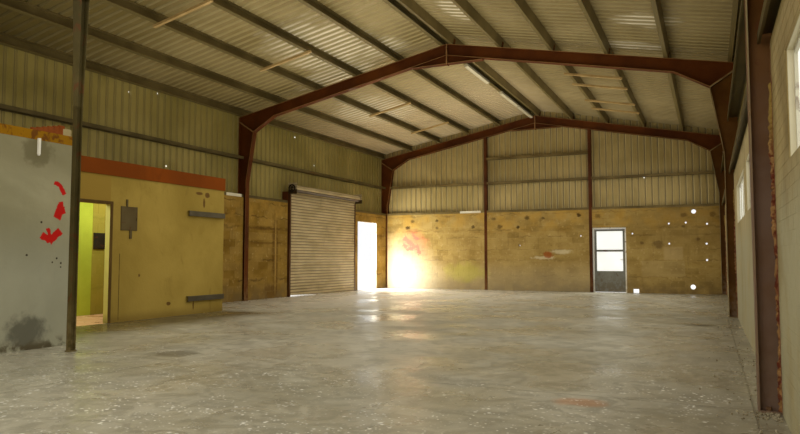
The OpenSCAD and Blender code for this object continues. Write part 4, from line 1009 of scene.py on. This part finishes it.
def slat_coating(name, step, start, gap):
    """Beige coating, with painted shade darkening the top of each slat and painted shade almost black in the
    gaps.
    """
    made = Finish(name, 0.5, 0.1)
    made.paint(made.patches(0.8, 6, 0.3, 0.7, stretch=(1, 1, 3)), (176, 158, 116), (202, 184, 142))
    runs = made.patches(0.3, 5, 0.6, 0.75, 0.0, 0.4, stretch=(1, 1, 0.3), shift=(2, 2, 2))
    made.stain(runs, (106, 88, 58))
    above = made.sums("MODULO", made.minus(made.along("Z"), start - 2 * step), step)
    # Painted shade towards the top of each slat.
    made.stain(made.fade(above, step * 0.5, step * 0.95, 0.0, 0.35), (110, 90, 54))
    # Painted shade in the gaps between slats.
    gap_shade = made.most(made.fade(above, gap, gap * 0.4), made.fade(above, step - gap, step - gap * 0.4))
    made.stain(gap_shade, (66, 48, 22))
    return made


dress(slat_coating("beige_slat_coating", slat_step, slat_start, 0.010), "shutter_curtain")
dress(slat_coating("rolled_slat_coating", roll_step, roll_height + roll_radius, 0.004), "shutter_roll")
dress(zinc("guide_zinc", (70, 40, 20), (92, 60, 34)), "shutter_guides")


def box_faces(first):
    """The six faces of a box whose eight corners are numbered on from first."""
    sides = ((0, 1, 3, 2), (4, 6, 7, 5), (0, 4, 5, 1), (2, 3, 7, 6), (0, 2, 6, 4), (1, 5, 7, 3))
    return [[first + i for i in side] for side in sides]


def toothed_wheel(name, middle, radius, thick, teeth, finish):
    """A chain wheel on a level shaft along Y: toothed rim and six flat spokes."""
    corners, faces, rings = [], [], []
    around = teeth * 2
    rim, inner_rim, tooth, half_spoke = radius, radius * 0.78, 0.07, 0.010
    for reach in (rim, inner_rim):
        for y in (-thick / 2, thick / 2):
            rings.append(len(corners))
            for i in range(around):
                turn = math.pi * i / teeth
                out = reach * (1.0 + tooth) if reach == rim and i % 2 else reach
                corners.append(middle + Vector((out * math.cos(turn), y, out * math.sin(turn))))
    for a, b in ((0, 1), (1, 3), (3, 2), (2, 0)):
        for i in range(around):
            j = (i + 1) % around
            faces.append((rings[a] + i, rings[a] + j, rings[b] + j, rings[b] + i))
    for spoke in range(6):
        turn = spoke * math.pi / 3
        faces += box_faces(len(corners))
        for reach in (radius * 0.1, radius * 0.8):
            for y in (-thick / 3, thick / 3):
                for aside in (-half_spoke, half_spoke):
                    corners.append(middle + Vector((reach * math.cos(turn) - aside * math.sin(turn), y,
                                                    reach * math.sin(turn) + aside * math.cos(turn))))
    put(name, corners, faces, finish)


gear_steel = oxide("greasy_gear_steel", (30, 24, 16), (52, 42, 28), (60, 50, 34))
wheel_middle = Vector((-5.534, shutter_ends[0] - 0.05, roll_height))
toothed_wheel("shutter_chain_wheel", wheel_middle, 0.110, 0.028, 22, gear_steel)

# Office: blockwork plastered and painted mustard, a painted board along its top, a
# switch panel with its conduit stubs, a dark door lining and a blank notice board.
office_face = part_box("office_front_wall")[1][0]
door_far, door_wide, door_high, trim = -1.57, 0.96, 2.14, 0.05


def plaster(name, dark, light, mark):
    made = Finish(name, 0.8, gloss=0.2)
    made.paint(made.patches(1.6, 6, 0.3, 0.7, warp=0.4), dark, light)
    patched = made.patches(0.45, 6, 0.58, 0.75, 0.0, 0.4, stretch=(1, 1, 0.5), shift=(6, 1, 3), warp=1.5)
    made.stain(patched, mark)
    made.relief(made.cloud(0.05, 6), 0.003)
    return made


office_paint = plaster("mustard_plaster", (146, 122, 50), (174, 148, 70), (122, 98, 38))
door_reveal = office_paint.panel("XY", (-4.2, door_far - 0.012), (office_face - 0.006, door_far + 0.004),
                                 0.003)
office_paint.stain(door_reveal, (224, 214, 120))
crack = office_paint.panel("YZ", (-1.355, 0.13), (-1.343, 1.29), 0.004)
office_paint.stain(crack, (64, 48, 18), office_paint.patches(0.15, 4, 0.3, 0.5, 0.4, 1.0))
for middle, half in (((-0.167, 0.35), (0.055, 0.035)), ((0.76, 2.33), (0.03, 0.10)),
                     ((0.62, 2.52), (0.10, 0.03)), ((0.85, 2.50), (0.07, 0.05)),
                     ((0.50, 0.27), (0.018, 0.10)), ((-0.9, 0.9), (0.02, 0.03))):
    office_paint.stain(office_paint.blot("YZ", middle, half, 0.5, 0.5, 0.05), (84, 48, 20), 0.8)
office_paint.stain(office_paint.slide("Z", 0.30, 0.10), (104, 80, 34), 0.5)
dress(office_paint, "office_front_wall", "office_end_wall")
dress(plaster("deck_concrete", (110, 102, 84), (140, 132, 110), (84, 76, 58)), "office_roof")
dress(plaster("orange_board_paint", (114, 54, 0), (134, 64, 0), (98, 44, 0)), "office_fascia")
dress(zinc("rail_zinc", (80, 72, 54), (104, 96, 76)), "office_rails")


def boxed(name, finish, face, *boxes):
    """A piece made of closed boxes on a wall; each gives its ends out from the face, along Y and up."""
    corners, faces = [], []
    for depths, lengths, heights in boxes:
        faces += box_faces(len(corners))
        corners += [(face + out, y, z) for out in depths for y in lengths for z in heights]
    put(name, corners, faces, finish)


switch_paint = oxide("switch_panel_paint", (86, 72, 42), (104, 90, 56), (104, 94, 66))
boxed("office_switch_panel", switch_paint, office_face,
      ((0.0, 0.010), (-1.347, -0.979), (1.70, 2.125)),
      ((0.010, 0.014), (-1.335, -0.991), (1.712, 2.113)),
      ((0.014, 0.024), (-1.010, -0.998), (1.88, 1.94)),
      ((0.0, 0.022), (-1.235, -1.205), (2.125, 2.25)),
      ((0.0, 0.022), (-1.150, -1.105), (1.555, 1.70)))
door_near = door_far - door_wide
trim_paint = oxide("dark_trim_paint", (74, 54, 20), (100, 76, 32), (90, 70, 34))
boxed("office_door_architrave", trim_paint, office_face,
      ((0.0, 0.012), (door_far, door_far + trim), (floor_top, door_high)),
      ((0.0, 0.012), (door_near - trim, door_near), (floor_top, door_high)),
      ((0.0, 0.014), (door_near - trim, door_far + trim), (door_high, door_high + trim)))
board_paint = oxide("blank_board_paint", (30, 26, 16), (48, 42, 28), (48, 42, 28))
boxed("office_notice_board", board_paint, left_face,
      ((0.004, 0.024), (-0.50, -0.16), (1.39, 1.71)),
      ((0.024, 0.030), (-0.48, -0.18), (1.41, 1.69)))

# Store: block walls with grey-white plaster, patched, damp at the foot and splashed
# with red, under a rusty yellow channel that carries a stepped brace and a pad; a
# small lamp is fixed to the wall.
store_paint = plaster("grey_white_plaster", (140, 135, 104), (170, 164, 132), (118, 110, 82))
store_paint.stain(store_paint.slide("Z", 1.9, 0.9), (164, 165, 146), 0.6)
store_paint.stain(store_paint.slide("Z", 2.1, 2.5, 0.0, 0.4), (112, 104, 68))
lamp_smudge = store_paint.blot("YZ", (-4.29, 2.54), (0.19, 0.19), 0.6, 0.5, 0.10)
store_paint.stain(lamp_smudge, (92, 84, 52), 0.55)
for start, end, half in (((-4.05, 2.17), (-3.95, 2.14), 0.030), ((-3.97, 2.16), (-3.90, 2.03), 0.034),
                         ((-4.00, 1.71), (-3.93, 1.90), 0.060), ((-3.95, 1.94), (-3.90, 1.78), 0.034),
                         ((-4.21, 1.51), (-4.08, 1.43), 0.050), ((-4.10, 1.42), (-3.93, 1.57), 0.052),
                         ((-4.12, 1.59), (-4.07, 1.44), 0.028)):
    store_paint.stain(brush(store_paint, "YZ", start, end, half, 0.05), (190, 26, 18))
damp = store_paint.blot("YZ", (-4.36, 0.31), (0.24, 0.17), 0.9, 0.9, 0.12)
store_paint.stain(damp, (76, 74, 62), 0.75)
for y, z, half in ((-4.39, 1.25, 0.014), (-4.21, 1.66, 0.013), (-4.04, 1.16, 0.011),
                   (-3.98, 1.21, 0.012), (-3.92, 1.15, 0.014), (-3.92, 1.10, 0.010)):
    store_paint.stain(store_paint.blot("YZ", (y, z), (half, half), 0.7, 0.5, 0.04), (60, 50, 32))
broken_foot = store_paint.patches(0.16, 6, 0.42, 0.56, shift=(2, 1, 1))
store_paint.stain(store_paint.slide("Z", 0.26, 0.13), (92, 84, 62), broken_foot)
dress(store_paint, "store_front_wall", "store_end_wall")
beam_paint = plaster("yellow_channel_paint", (132, 92, 0), (156, 110, 2), (104, 60, 18))
beam_paint.stain(beam_paint.patches(0.12, 6, 0.50, 0.62, 0.0, 0.8, shift=(2, 2, 0), warp=1.0), (96, 52, 16))
dress(beam_paint, "store_beam")
store_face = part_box("store_front_wall")[1][0]
beam_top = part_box("store_beam")[1][2]
brace_start, brace_step, brace_low, brace_rise = -4.36, 0.075, 0.032, 0.018
brace_parts = []
for i in range(6):
    start = brace_start + i * brace_step
    brace_parts.append(((-0.060, -0.022), (start, start + brace_step + 0.004),
                        (beam_top, beam_top + brace_low + i * brace_rise)))
rusty_brace = oxide("rusty_brace", (120, 54, 12), (152, 80, 20), (100, 60, 24))
boxed("store_beam_brace", rusty_brace, store_face, *brace_parts)
pad_top = beam_top + 0.085
pad_paint = plaster("pale_pad", (150, 134, 92), (178, 162, 116), (120, 104, 66))
boxed("store_beam_pad", pad_paint, store_face,
      ((-0.075, -0.020), (-3.93, -3.81), (beam_top, pad_top)),
      ((-0.065, -0.030), (-3.93, -3.82), (pad_top, pad_top + 0.009)))
lamp_plastic = plaster("lamp_plastic", (228, 224, 206), (244, 240, 226), (190, 180, 150))
boxed("store_wall_lamp", lamp_plastic, store_face,
      ((0.0, 0.030), (-4.300, -4.272), (2.50, 2.70)),
      ((0.004, 0.026), (-4.296, -4.276), (2.485, 2.50)))

# Light fittings: folded trays under the purlins and the ridge, enamel browned by dust,
# with the trays under the ridge painted a little paler as a painted highlight.
tray_paint = Finish("tray_enamel", 0.45)
tray_paint.paint(tray_paint.patches(0.3, 5, 0.3, 0.7), (160, 130, 78), (190, 160, 104))
# Painted highlight: the trays under the ridge are painted paler where daylight catches them.
tray_paint.stain(tray_paint.slide("Z", 5.7, 5.8), (206, 196, 164))
dress(tray_paint, "light_fittings")
